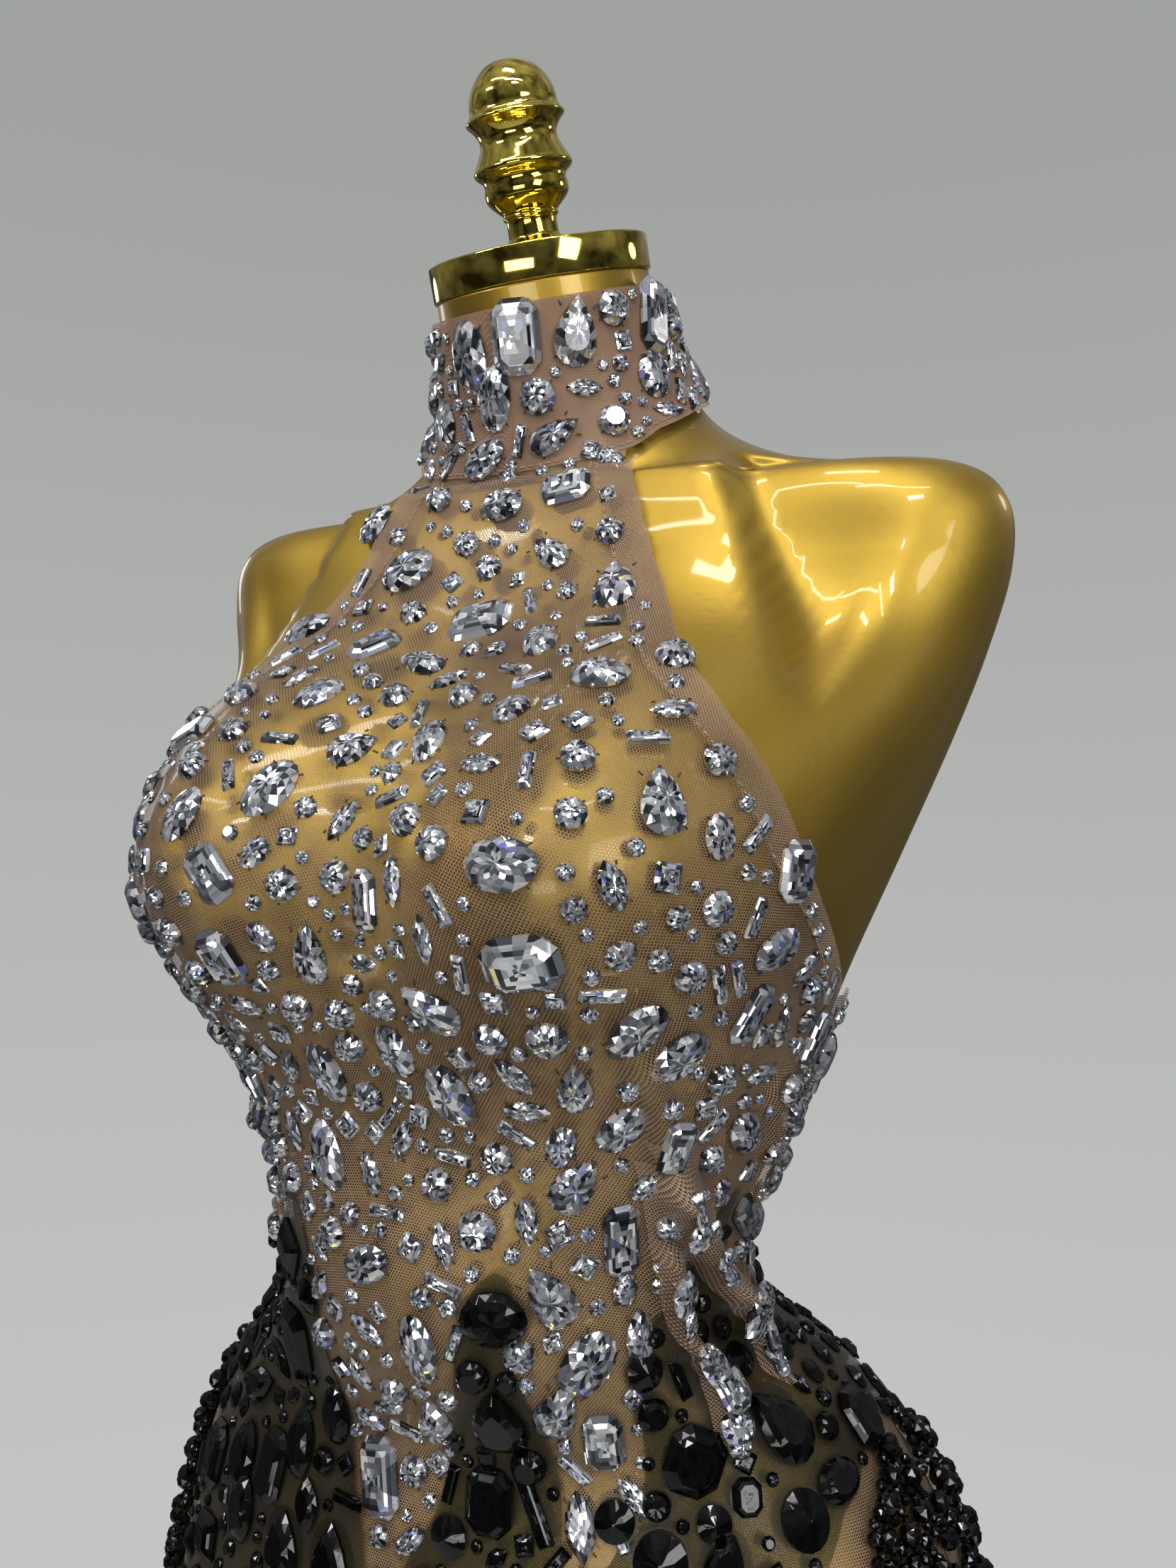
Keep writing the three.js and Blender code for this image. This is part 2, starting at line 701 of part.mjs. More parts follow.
function swags(side) {
  const outside = OUTER_FACE + OVERLAY_CLEARANCE + OVERLAY;
  const stripMiddle = outside + SEAT_GAP + SWAG_STRIP.lift + SWAG_STRIP.thickness / 2;
  const parts = [];
  for (const edge of [SWAG_FRONT, SWAG_BACK]) {
    const places = Array.from({ length: SWAG_STRIP.steps + 1 }, (_, n) => {
      const [station, angle] = placeAlong(edge, n / SWAG_STRIP.steps);
      return [station, side * angle];
    });
    const frames = framesAlong(places, stripMiddle, SWAG_STRIP.width / 2, SWAG_STRIP.thickness / 2);
    parts.push(solidOf(bar(frames)));
  }
  for (let n = 0; n < SWAG.strings; n += 1) {
    const t = (n + 0.5) / SWAG.strings;
    const [frontStation, frontAngle] = placeAlong(SWAG_FRONT, t);
    const [backStation, backAngle] = placeAlong(SWAG_BACK, t);
    const drop = 1.5 + 1.1 * t;
    const places = Array.from({ length: SWAG.steps + 1 }, (_, k) => {
      const u = k / SWAG.steps;
      const level = frontStation + (backStation - frontStation) * u;
      const angle = frontAngle + (backAngle - frontAngle) * u;
      return [level - drop * Math.sin(Math.PI * u) ** 0.8, side * angle];
    });
    const half = SWAG.bead / 2;
    parts.push(solidOf(bar(framesAlong(places, stripMiddle + SWAG.stand, half, half))));
  }
  return geometryFrom(parts.reduce((sum, part) => sum.add(part)));
}

// The form is one closed shell, from its flat foot to the neck's flat top.
function dressForm() {
  const columns = 36;
  const stations = [
    ...evenStations(0, 7, 7, 60).slice(0, -1),
    ...evenStations(7, 11, 8, 60).slice(0, -1),
    ...evenStations(11, 18, 10, 40).slice(0, -1),
    ...evenStations(18, TOP_STATION, 6, 75),
  ];
  const rows = stations.length - 1;
  const points = [];
  const triangles = [];
  for (const station of stations) {
    for (let j = 0; j < columns; j += 1) points.push(skin(station, (360 * j) / columns));
  }
  for (let i = 0; i < rows; i += 1) {
    for (let j = 0; j < columns; j += 1) {
      const [a, b] = [i * columns + j, i * columns + ((j + 1) % columns)];
      triangles.push([a, b, b + columns], [a, b + columns, a + columns]);
    }
  }
  const flat = (row, flip) => {
    const ring = points.slice(row * columns, (row + 1) * columns);
    const centre = ring.reduce((sum, p) => sum.add(p), new THREE.Vector3()).divideScalar(columns);
    const middle = points.push(centre) - 1;
    for (let j = 0; j < columns; j += 1) {
      const [a, b] = [row * columns + j, row * columns + ((j + 1) % columns)];
      triangles.push(flip ? [middle, b, a] : [middle, a, b]);
    }
  };
  flat(0, true);
  flat(rows, false);
  return geometryOf(points, triangles);
}

// A turned piece from rows of radius and height.
function turned(rows, segments) {
  const lathe = new THREE.LatheGeometry(rows.map(([r, h]) => new THREE.Vector2(r, h)), segments);
  lathe.rotateX(Math.PI / 2);
  return geometryFrom(solidOf(lathe));
}

function capProfile({ radius, thickness, bevel }) {
  return [
    [0, 0],
    [radius - bevel, 0],
    [radius, bevel],
    [radius, thickness - bevel],
    [radius - bevel, thickness],
    [0, thickness],
  ];
}

function baseProfile({ radius, thickness, bevel, hubRadius, hubHeight }) {
  return [
    [0, 0],
    [radius, 0],
    [radius, thickness - bevel],
    [radius - bevel, thickness],
    [hubRadius + bevel, thickness],
    [hubRadius, thickness + bevel],
    [hubRadius, hubHeight],
    [0, hubHeight],
  ];
}

function poleProfile(length) {
  return [
    [0, 0],
    [POLE.radius, 0],
    [POLE.radius, length - 3 * POLE.flange],
    [POLE.flangeRadius, length - POLE.flange],
    [POLE.flangeRadius, length],
    [0, length],
  ];
}

// ---- materials ----
const nudeMesh = new THREE.MeshStandardMaterial({ color: 0xb08f72, roughness: 0.75, metalness: 0 });
const blackMesh = new THREE.MeshStandardMaterial({ color: 0x15150f, roughness: 0.5, metalness: 0 });
const jetBeads = new THREE.MeshStandardMaterial({ color: 0x08080a, roughness: 0.15, metalness: 0 });
const goldLacquer = new THREE.MeshStandardMaterial({ color: 0xa8812c, roughness: 0.3, metalness: 0.8 });
const goldPlate = new THREE.MeshStandardMaterial({ color: 0xd8b848, roughness: 0.1, metalness: 1 });

function piece(name, geometry, material) {
  const mesh = new THREE.Mesh(geometry, material);
  mesh.name = name;
  return mesh;
}

// ---- the object ----
const object = new THREE.Group();

const frontAngles = OVERLAY_TOP.map(([angle]) => angle);
const backAngles = range(-11, 11).map((column) => (column * 90) / 11);
object.add(piece('dress_form', dressForm(), goldLacquer));
object.add(piece('dress_front', dressFront(), nudeMesh));
object.add(piece('dress_back', dressBack(), nudeMesh));
object.add(piece('collar', collar(), nudeMesh));
object.add(piece('overlay_front', overlay(0, frontAngles, 1, 8, 2, OVERLAY_TOP, jetStones), blackMesh));
object.add(piece('overlay_back', overlay(180, backAngles, 2, 7, 1, BACK_OVERLAY_TOP, []), blackMesh));
object.add(piece('swags_left', swags(1), jetBeads));
object.add(piece('swags_right', swags(-1), jetBeads));

// The neck's top leans forward, and the cap and the finial stand square on it.
const neckTop = sectionAt(TOP_STATION);
const neck = new THREE.Group();
const neckLean = radians(neckTop.lean);
neck.position.set(0, neckTop.shift, WAIST_HEIGHT + neckTop.height + Math.tan(neckLean) * neckTop.shift);
neck.rotation.x = neckLean;
const cap = piece('neck_cap', turned(capProfile(CAP), 32), goldPlate);
cap.position.z = SEAT_GAP;
const finial = piece('finial', turned(FINIAL, 20), goldPlate);
finial.position.z = CAP.thickness + 2 * SEAT_GAP;
neck.add(cap, finial);
object.add(neck);

const footHeight = WAIST_HEIGHT + SECTIONS[0][0];
const base = piece('stand_base', turned(baseProfile(BASE), 36), goldPlate);
const poleLength = footHeight - BASE.hubHeight - 2 * SEAT_GAP;
const pole = piece('stand_pole', turned(poleProfile(poleLength), 18), goldPlate);
pole.position.z = BASE.hubHeight + SEAT_GAP;
object.add(base, pole);

export default object;
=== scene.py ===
# A beaded halter mini dress worn by a gold, limbless dress form on a round stand.
# Metres, +Z up. The dress faces -Y and the wearer's left is +X.
import math
import bpy
import numpy as np
from mathutils import Matrix, Vector


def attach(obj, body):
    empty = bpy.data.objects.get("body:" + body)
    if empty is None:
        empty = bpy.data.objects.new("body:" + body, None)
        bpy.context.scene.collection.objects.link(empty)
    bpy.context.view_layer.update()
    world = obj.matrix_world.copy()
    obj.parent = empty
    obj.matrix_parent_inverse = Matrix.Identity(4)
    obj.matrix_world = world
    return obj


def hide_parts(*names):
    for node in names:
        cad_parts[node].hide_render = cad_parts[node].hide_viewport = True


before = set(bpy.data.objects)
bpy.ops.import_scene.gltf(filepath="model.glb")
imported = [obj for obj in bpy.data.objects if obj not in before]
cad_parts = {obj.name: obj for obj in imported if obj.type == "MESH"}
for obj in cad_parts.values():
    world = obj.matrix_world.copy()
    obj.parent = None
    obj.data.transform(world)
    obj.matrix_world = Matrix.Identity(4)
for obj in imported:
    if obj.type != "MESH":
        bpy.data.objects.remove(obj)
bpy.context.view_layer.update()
rng = np.random.default_rng(41)
WAIST = 1.040

# ---- view ----
# A hand-held phone a little over half a metre away, at the wearer's left and at
# chest height, looking slightly up.
azimuth, distance, rise = math.radians(28.8), 0.553, 0.202
heading, tilt, roll = math.radians(27.1), math.radians(2.9), math.radians(1.0)
camera = bpy.data.objects.new("camera", bpy.data.cameras.new("camera"))
bpy.context.collection.objects.link(camera)
ahead = Vector((-math.sin(heading) * math.cos(tilt), math.cos(heading) * math.cos(tilt), math.sin(tilt)))
level = Vector((math.cos(heading), math.sin(heading), 0))
upright = level.cross(ahead)
right = level * math.cos(roll) + upright * math.sin(roll)
top = upright * math.cos(roll) - level * math.sin(roll)
camera.matrix_world = Matrix((right, top, -ahead)).transposed().to_4x4()
camera.location = (distance * math.sin(azimuth), -distance * math.cos(azimuth), WAIST + rise)
camera.data.sensor_fit = "VERTICAL"
camera.data.sensor_height = 36
camera.data.lens = 27.55
camera.data.clip_start = 0.01
bpy.context.scene.camera = camera


# ---- materials ----
# Net, lacquer, plate, stones and glue. Colours are given as sRGB and made linear here.
def linear(hex_colour):
    parts = [int(hex_colour[k:k + 2], 16) / 255 for k in (1, 3, 5)]
    return [c / 12.92 if c <= 0.04045 else ((c + 0.055) / 1.055) ** 2.4 for c in parts] + [1]


# A shader node, with its settings and with its inputs linked or set.
def add(material, kind, links, **settings):
    node = material.node_tree.nodes.new("ShaderNode" + kind)
    for key, value in settings.items():
        setattr(node, key, value)
    for key, value in links.items():
        if isinstance(value, bpy.types.NodeSocket):
            material.node_tree.links.new(value, node.inputs[key])
        else:
            node.inputs[key].default_value = value
    return node


def vector(material, operation, *sources, output=0):
    return add(material, "VectorMath", dict(enumerate(sources)), operation=operation).outputs[output]


def number(material, operation, *sources):
    return add(material, "Math", dict(enumerate(sources)), operation=operation).outputs[0]


def new_material(name):
    material = bpy.data.materials.new(name)
    material.use_nodes = True
    return material, material.node_tree.nodes["Principled BSDF"]


def feed(material, shader, **sources):
    for key, value in sources.items():
        socket = shader.inputs[key.replace("_", " ")]
        if isinstance(value, bpy.types.NodeSocket):
            material.node_tree.links.new(value, socket)
        else:
            socket.default_value = value


def noise(material, scale, detail):
    where = add(material, "TexCoord", {}).outputs["Object"]
    return add(material, "TexNoise", {"Vector": where, "Scale": scale, "Detail": detail}).outputs["Fac"]


def two_tone(material, scale, dark, light):
    ramp = add(material, "ValToRGB", {"Fac": noise(material, scale, 4)})
    for element, position, colour in zip(ramp.color_ramp.elements, (0.3, 0.7), (dark, light)):
        element.position = position
        element.color = linear(colour)
    return ramp.outputs["Color"]


def uneven(material, scale, low, high):
    span = add(material, "MapRange", {"Value": noise(material, scale, 3), "To Min": low, "To Max": high})
    return span.outputs["Result"]


def plain(name, scale, dark, light, **sources):
    material, shader = new_material(name)
    feed(material, shader, Base_Color=two_tone(material, scale, dark, light), **sources)
    return material


# Knitted net of hexagonal cells, laid by the cloth's own lengths in metres. thread is the
# share of a cell's width that its thread fills, fill is how much shows in the holes, and
# weft turns the net in degrees.
def net(name, dark, light, pitch, thread, weft=0.0, roughness=0.62, fill=0.0):
    material, shader = new_material(name)
    place = add(material, "UVMap", {}, uv_map="cloth")
    turned = add(material, "VectorRotate", {"Vector": place.outputs["UV"], "Angle": math.radians(weft)},
                 rotation_type="Z_AXIS")
    cell = (1.0, math.sqrt(3), 1.0)
    scaled = vector(material, "MULTIPLY", turned.outputs["Vector"], [1 / (pitch * c) for c in cell])
    near = []
    for shift in (0.0, 0.5):
        part = vector(material, "FRACTION", vector(material, "ADD", scaled, (shift, shift, 0)))
        sized = vector(material, "MULTIPLY", vector(material, "SUBTRACT", part, (0.5, 0.5, 0)), cell)
        folded = vector(material, "ABSOLUTE", sized)
        slant = vector(material, "DOT_PRODUCT", folded, (0.5, math.sqrt(3) / 2, 0), output="Value")
        apart = add(material, "SeparateXYZ", {0: folded})
        near.append(number(material, "MAXIMUM", slant, apart.outputs["X"]))
    edge = number(material, "MINIMUM", *near)
    mask = add(material, "MapRange",
               {"Value": edge, "From Min": 0.5 - thread, "From Max": 0.5 - thread * 0.55,
                "To Min": fill, "To Max": 1.0}, interpolation_type="SMOOTHSTEP")
    cut = add(material, "Attribute", {}, attribute_name="cut").outputs["Fac"]
    alpha = number(material, "MULTIPLY", mask.outputs["Result"], number(material, "SUBTRACT", 1.0, cut))
    bump = add(material, "Bump", {"Height": edge, "Strength": 0.35, "Distance": 0.0002})
    feed(material, shader, Base_Color=two_tone(material, 26, dark, light), Roughness=roughness, Alpha=alpha,
         Normal=bump.outputs["Normal"], Sheen_Weight=0.25, Sheen_Roughness=0.4, Specular_IOR_Level=0.3)
    return material


nude_net = net("nude_net", "#7b6453", "#9d836b", 0.0012, 0.162, fill=0.04)
nude_double = net("nude_double", "#755d4b", "#947660", 0.0011, 0.25, weft=8, fill=0.45)
# The black net's threads are black, tinted dark olive as painted glow of the lit gold form seen through
# them.
black_net = net("black_net", "#0f0d05", "#2e2a0e", 0.00095, 0.2, weft=17, roughness=0.55, fill=0.22)
black_double = net("black_double", "#020202", "#070605", 0.00095, 0.3, weft=9, roughness=0.55, fill=0.7)

gold_lacquer, shader = new_material("gold_lacquer")
skin_deep = add(gold_lacquer, "Bump",
                {"Height": noise(gold_lacquer, 260, 2), "Strength": 0.1, "Distance": 0.0008})
waves = add(gold_lacquer, "Bump",
            {"Height": noise(gold_lacquer, 22, 1), "Strength": 0.12, "Distance": 0.004,
                                   "Normal": skin_deep.outputs["Normal"]})
feed(gold_lacquer, shader, Base_Color=two_tone(gold_lacquer, 5, "#9f8230", "#b3953a"), Metallic=0.92,
     Roughness=uneven(gold_lacquer, 9, 0.42, 0.5), Normal=waves.outputs["Normal"],
     Coat_Weight=0.42, Coat_Roughness=0.06, Coat_IOR=1.5)

gold_plate, shader = new_material("gold_plate")
feed(gold_plate, shader, Base_Color=two_tone(gold_plate, 20, "#cab248", "#dec75c"), Metallic=1.0,
     Roughness=uneven(gold_plate, 60, 0.03, 0.1))


# Cut stones. Seen through the crown, the facets behind part a stone into cells: kites
# between spokes in a brilliant, and steps along the eight sides in a step cut. Each cell
# has a tone and a lean of its own. In a clear stone the tones are painted reflections of
# the facets behind: dark cells, white painted glints and a few painted blue flashes. A
# jet's tones are its own near-black.
STEP_RINGS, STEP_SIDES = 7, 8


def stone_material(name, tones, metallic, roughness, spokes, rings, lean, coat, specular):
    material, shader = new_material(name)
    place = add(material, "UVMap", {}, uv_map="cloth").outputs["UV"]
    stone, stepped = (
        add(material, "Attribute", {}, attribute_name=mark).outputs["Fac"] for mark in ("stone", "stepped")
    )
    apart = add(material, "SeparateXYZ", {0: place})

    def value(operation, *sources):
        return number(material, operation, *sources)

    turn = value("ARCTAN2", apart.outputs["Y"], apart.outputs["X"])
    spoke = value("MULTIPLY", turn, spokes / (2 * math.pi))
    out = vector(material, "LENGTH", place, output="Value")
    kites = [value("FLOOR", value("MULTIPLY_ADD", out, sign, spoke)) for sign in (rings, -rings)]
    kite = add(material, "CombineXYZ", {0: kites[0], 1: kites[1], 2: stone})
    wide, long = (value("ABSOLUTE", apart.outputs[axis]) for axis in ("X", "Y"))
    ring = value("FLOOR", value("MULTIPLY", value("MAXIMUM", wide, long), STEP_RINGS))
    side = value("FLOOR", value("MULTIPLY_ADD", turn, STEP_SIDES / (2 * math.pi), 0.5))
    step = add(material, "CombineXYZ", {0: ring, 1: side, 2: stone})
    cell = add(material, "Mix", {0: stepped, 4: kite.outputs[0], 5: step.outputs[0]}, data_type="VECTOR")
    chance = add(material, "TexWhiteNoise", {"Vector": cell.outputs[1]}, noise_dimensions="3D")
    ramp = add(material, "ValToRGB", {"Fac": chance.outputs["Value"]})
    while len(ramp.color_ramp.elements) < len(tones):
        ramp.color_ramp.elements.new(0.5)
    for element, (position, colour) in zip(ramp.color_ramp.elements, tones):
        element.position = position
        element.color = linear(colour)
    tilt = vector(material, "SUBTRACT", chance.outputs["Color"], (0.5, 0.5, 0.5))
    surface = add(material, "NewGeometry", {})
    leaning = vector(material, "MULTIPLY_ADD", tilt, (lean, lean, lean), surface.outputs["Normal"])
    normal = vector(material, "NORMALIZE", leaning)
    feed(material, shader, Base_Color=ramp.outputs["Color"], Metallic=metallic, Roughness=roughness,
         Normal=normal, Coat_Weight=coat, Coat_Roughness=0.02, Specular_IOR_Level=specular)
    return material


# A clear stone's cell tones are painted reflections of its back facets: dark to white, with white painted
# glints and painted blue flashes.
CLEAR_PAINTED_REFLECTIONS = [
    # share, colour of the painted reflection
    (0, "#191c22"), (0.2, "#50545c"), (0.42, "#989ca4"), (0.7, "#d8dbe0"), (0.94, "#ffffff"),
    (0.965, "#7f8cf2"), (0.99, "#ffffff"),
]
clear_stone = stone_material("clear_stone", CLEAR_PAINTED_REFLECTIONS, 0.8, 0.09, 14, 3.2, 0.5, 1.0, 0.5)
JET_TONES = [(0, "#010101"), (1, "#060607")]
jet_stone = stone_material("jet_stone", JET_TONES, 0.0, 0.1, 10, 1.4, 0.12, 0.2, 0.25)

glue = plain("glue", 300, "#100f0b", "#1b1813", Roughness=0.3, Alpha=0.35)
thread = plain("thread", 900, "#7d5f49", "#a98a70", Roughness=0.8, Sheen_Weight=0.2)
dark_thread = plain("dark_thread", 900, "#241b14", "#4a3a2d", Roughness=0.7)

# ---- the shape of the body ----
# Level sections of the form from its foot up, each with a number that is its station.
# Lengths are in millimetres from the waist, and lean in degrees.
SECTIONS = np.array([
    # height, half, front, back, power, shift, lean
    [-430, 148, 94, 93, 2.2, 7, 0],
    [-380, 161, 98, 104, 2.2, 8, 0],
    [-320, 175, 101, 120, 2.2, 10, 0],
    [-257, 186, 102, 134, 2.2, 11, 0],
    [-193, 190, 103, 141, 2.2, 13, 0],
    [-136, 187, 106, 136, 2.2, 14, 0],
    [-78, 173, 104, 121, 2.2, 15, 0],
    [-28, 142, 96, 96, 2.1, 9, 0],
    [10, 103, 95, 71, 2.1, -11, 0],
    [50, 99, 96, 63, 2.1, -17, 0],
    [97, 118, 95, 68, 2.15, -11, 0],
    [148, 136, 98, 78, 2.2, -6, 0],
    [200, 157, 97, 87, 2.25, 2, 0],
    [250, 177, 88, 90, 2.3, 10, 0],
    [288, 190, 74, 87, 2.3, 18, 0],
    [320, 199, 66, 83, 2.25, 18, 0],
    [344, 198, 61, 76, 2.2, 16, 1],
    [358, 182, 56, 69, 2.1, 14, 3],
    [364, 141, 52, 63, 2.05, 12, 8],
    [371, 101, 50, 58, 2, 11, 18],
    [384, 75, 49, 54, 2, 9, 22],
    [402, 61, 49, 51, 2, 6, 23],
    [423, 54, 49, 49, 2, 0, 23],
    [443, 50.5, 47, 47, 2, -9, 23],
    [463, 48.5, 45.5, 45.5, 2, -18, 23],
])
TOP_STATION = len(SECTIONS) - 1
# The breasts. The cloth spans the hollow between them, so its inner slope is wider.
BUST = dict(x=85, height=197, depth=73, outer=55, inner=46, above=67, below=59, round=12)
BUST_BRIDGE = 2.1
# The hollow between the chest and each shoulder, a scoop that narrows to a foot below.
# Its corners are given as x and height; each rim is the width of the slope from that edge.
HOLLOW = dict(chest_top=(93, 352), arm_top=(177, 326), foot=(143, 236), depth=14, rim=10, arm_rim=24,
              reach=46, ceiling=374)


# A smooth curve through b and c, at t of the way, where a and d are the points beyond.
def curve(a, b, c, d, t):
    return (2 * b + (c - a) * t + (2 * a - 5 * b + 4 * c - d) * t ** 2
            + (3 * b - a - 3 * c + d) * t ** 3) / 2


def sections_at(station):
    below = np.clip(np.floor(station).astype(int), 0, TOP_STATION - 1)
    t = (station - below)[..., None]
    return curve(*(SECTIONS[np.clip(below + k, 0, TOP_STATION)] for k in (-1, 0, 1, 2)), t)


def smooth(t):
    t = np.clip(t, 0, 1)
    return t * t * (3 - 2 * t)


def read_off(table, place, column=1):
    return np.interp(place, table[:, 0], table[:, column])


# How far a place lies to the right of the line from one corner up to another.
def right_of(corner, other, x, z):
    (x1, z1), (x2, z2) = corner, other
    return ((x - x1) * (z2 - z1) - (z - z1) * (x2 - x1)) / math.hypot(x2 - x1, z2 - z1)


def hollow_depth(x, z):
    from_chest = right_of(HOLLOW["foot"], HOLLOW["chest_top"], np.abs(x), z)
    from_arm = -right_of(HOLLOW["foot"], HOLLOW["arm_top"], np.abs(x), z)
    rims = smooth(from_chest / HOLLOW["rim"]) * smooth(from_arm / HOLLOW["arm_rim"])
    below = smooth((HOLLOW["ceiling"] - z) / HOLLOW["rim"])
    return HOLLOW["depth"] * rims * below * np.exp(-(from_chest / HOLLOW["reach"]) ** 2)


# Points of the form, or of the cloth's rest surface where it is worn over it.
def skin(station, angle, worn=True):
    station, angle = np.broadcast_arrays(np.asarray(station, float), np.asarray(angle, float))
    height, half, front, back, power, shift, lean = np.moveaxis(sections_at(station), -1, 0)
    side, facing = np.sin(np.radians(angle)), np.cos(np.radians(angle))
    x = half * np.sign(side) * np.abs(side) ** (2 / power)
    y = shift - np.where(facing > 0, front, back) * np.sign(facing) * np.abs(facing) ** (2 / power)
    z = height + np.tan(np.radians(lean)) * y
    across = np.hypot(x, BUST["round"]) - BUST["x"]
    reach = np.where(across > 0, BUST["outer"], BUST["inner"] * (BUST_BRIDGE if worn else 1))
    up = z - BUST["height"]
    reach_up = np.where(up > 0, BUST["above"], BUST["below"])
    ahead_part = smooth(facing * 2.2)
    y = y - ahead_part * BUST["depth"] * np.exp(-0.65 * ((across / reach) ** 2 + (up / reach_up) ** 2))
    if not worn:
        y = y + ahead_part * hollow_depth(x, z)
    return np.stack([x / 1000, y / 1000, WAIST + z / 1000], axis=-1)


def outward(station, angle):
    station = np.asarray(station, float)
    across = skin(station, angle + 0.5) - skin(station, angle - 0.5)
    up = skin(station + 0.02, angle) - skin(station - 0.02, angle)
    normal = np.cross(across, up)
    return normal / np.linalg.norm(normal, axis=-1, keepdims=True)


def off_skin(station, angle, distance):
    return skin(station, angle) + outward(station, angle) * np.asarray(distance)[..., None]


# ---- dress form ----
# The moulded torso: neck, shoulder stumps, bust, waist and hips, in gold lacquer. It is one
# shell, closed at the neck and at its flat foot.
def mesh_piece(name, points, faces, material, uv=None, smooth_faces=True, marks=None):
    mesh = bpy.data.meshes.new(name)
    mesh.from_pydata([tuple(p) for p in points], [], faces)
    if uv is not None:
        layer = mesh.uv_layers.new(name="cloth")
        corner = np.empty(len(mesh.loops), dtype=np.int32)
        mesh.loops.foreach_get("vertex_index", corner)
        layer.data.foreach_set("uv", np.asarray(uv)[corner].astype(np.float32).ravel())
    for mark, values in (marks or {}).items():
        marked = mesh.attributes.new(mark, "FLOAT", "FACE")
        marked.data.foreach_set("value", np.asarray(values, dtype=np.float32))
    mesh.polygons.foreach_set("use_smooth", [smooth_faces] * len(mesh.polygons))
    mesh.materials.append(material)
    mesh.update()
    piece = bpy.data.objects.new(name, mesh)
    bpy.context.collection.objects.link(piece)
    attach(piece, "root")
    return piece


def grid_faces(rows, columns, ring=False):
    last = columns if ring else columns - 1
    return [
        (i * columns + j, i * columns + (j + 1) % columns, (i + 1) * columns + (j + 1) % columns,
         (i + 1) * columns + j)
        for i in range(rows - 1) for j in range(last)
    ]


stations = np.concatenate([np.arange(0, 11, 0.1), np.arange(11, 16, 0.06),
                           np.arange(16, TOP_STATION + 0.01, 0.08)])
turn = np.arange(0, 360, 2.0)
points = skin(stations[:, None], turn[None, :], worn=False)
faces = grid_faces(len(stations), len(turn), ring=True)
last_row = (len(stations) - 1) * len(turn)
faces += [tuple(reversed(range(len(turn)))), tuple(range(last_row, last_row + len(turn)))]
form = mesh_piece("form", points.reshape(-1, 3), faces, gold_lacquer)
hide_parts("dress_form")

# ---- nude net ----
# The front runs from the collar's seam to the hem, with halter armholes; the back is
# open above the underarm. Both are stretched over the form.
NET_OFF = 3.2
FRONT_EDGE = np.array([
    # station, half angle of the side seam and then of the armhole
    [0, 89.8], [10.6, 89.8], [11, 87.5], [11.35, 79], [11.85, 67], [12.4, 53.5], [12.9, 41], [13.3, 33],
    [13.7, 27.5],
    [14.1, 24], [14.8, 19.5], [15.5, 17.2], [16.3, 16.4], [17, 17.6], [18, 22.5], [19, 31.5], [19.8, 40.5],
])
COLLAR_FOOT = np.array([
    # angle from the front, station
    [0, 19.6], [25, 19.65], [41, 19.8], [55, 20.2], [80, 20.5], [125, 20.7], [180, 20.8],
])
HEM, UNDERARM, BACK_NECK, FRONT_NECK, COLLAR_TOP = 0.6, 11.0, 10.6, 19.6, 23.5
FOLDS = [
    # station and angle at each end, height and reach in millimetres
    (10.6, 47, 9.7, 55, 7, 6),
    (9.7, 55, 8.64, 76, 11, 7),
    (8.64, 76, 7.9, 81, 8, 6),
    (9.1, 58, 8.2, 61, 9, 5),
    (8.2, 61, 7.6, 61, 5, 5),
    (9.9, 26, 9.2, 40, 3, 6),
    (10.3, 76, 9.4, 88, 6, 7),
    (9.8, -60, 8.6, -76, 8, 7),
    (9, -48, 8, -62, 5, 7),
]


def fold_height(station, angle):
    here = skin(station, angle)
    height = np.zeros(here.shape[:-1])
    for s1, a1, s2, a2, rise_mm, reach in FOLDS:
        start, end = skin(s1, a1), skin(s2, a2)
        along = end - start
        t = np.clip(((here - start) @ along) / (along @ along), 0, 1)
        away = np.linalg.norm(here - start - t[..., None] * along, axis=-1) * 1000
        height += rise_mm * np.exp(-(away / reach) ** 2)
    return height


def edge_angle(station):
    return read_off(FRONT_EDGE, station)


def collar_foot(angle):
    return read_off(COLLAR_FOOT, np.abs(angle))


# The back's upper edge, by the angle from the centre back.
def back_edge(from_centre):
    return UNDERARM - (UNDERARM - BACK_NECK) * np.cos(np.radians(from_centre))


# The front's upper rows bend to meet the collar's seam, from 3.6 stations below it.
def seam_lift(station, angle):
    return smooth((station - 16) / 3.6) * (collar_foot(angle) - FRONT_NECK)


# Lengths over the surface, across from the centre front and up from the hem, which lay
# out the net's cells.
MAP_ROWS, MAP_COLUMNS, CENTRE_FRONT = 240, 225, 90
map_angles = np.linspace(-180, 270, MAP_COLUMNS + 1)
mapped = skin(np.linspace(0, TOP_STATION, MAP_ROWS + 1)[:, None], map_angles[None, :])
LENGTHS = np.zeros(mapped.shape[:2] + (2,))
LENGTHS[:, 1:, 0] = np.cumsum(np.linalg.norm(np.diff(mapped, axis=1), axis=-1), axis=1)
LENGTHS[..., 0] -= LENGTHS[:, CENTRE_FRONT, 0][:, None]
LENGTHS[1:, :, 1] = np.cumsum(np.linalg.norm(np.diff(mapped, axis=0), axis=-1), axis=0)


def cloth_lengths(station, angle):
    row = np.clip(station / TOP_STATION * MAP_ROWS, 0, MAP_ROWS - 0.001)
    column = np.clip((angle + 180) / 2, 0, MAP_COLUMNS - 0.001)
    i, j = row.astype(int), column.astype(int)
    a, b = (row - i)[..., None], (column - j)[..., None]
    lower = LENGTHS[i, j] * (1 - b) + LENGTHS[i, j + 1] * b
    return lower * (1 - a) + (LENGTHS[i + 1, j] * (1 - b) + LENGTHS[i + 1, j + 1] * b) * a


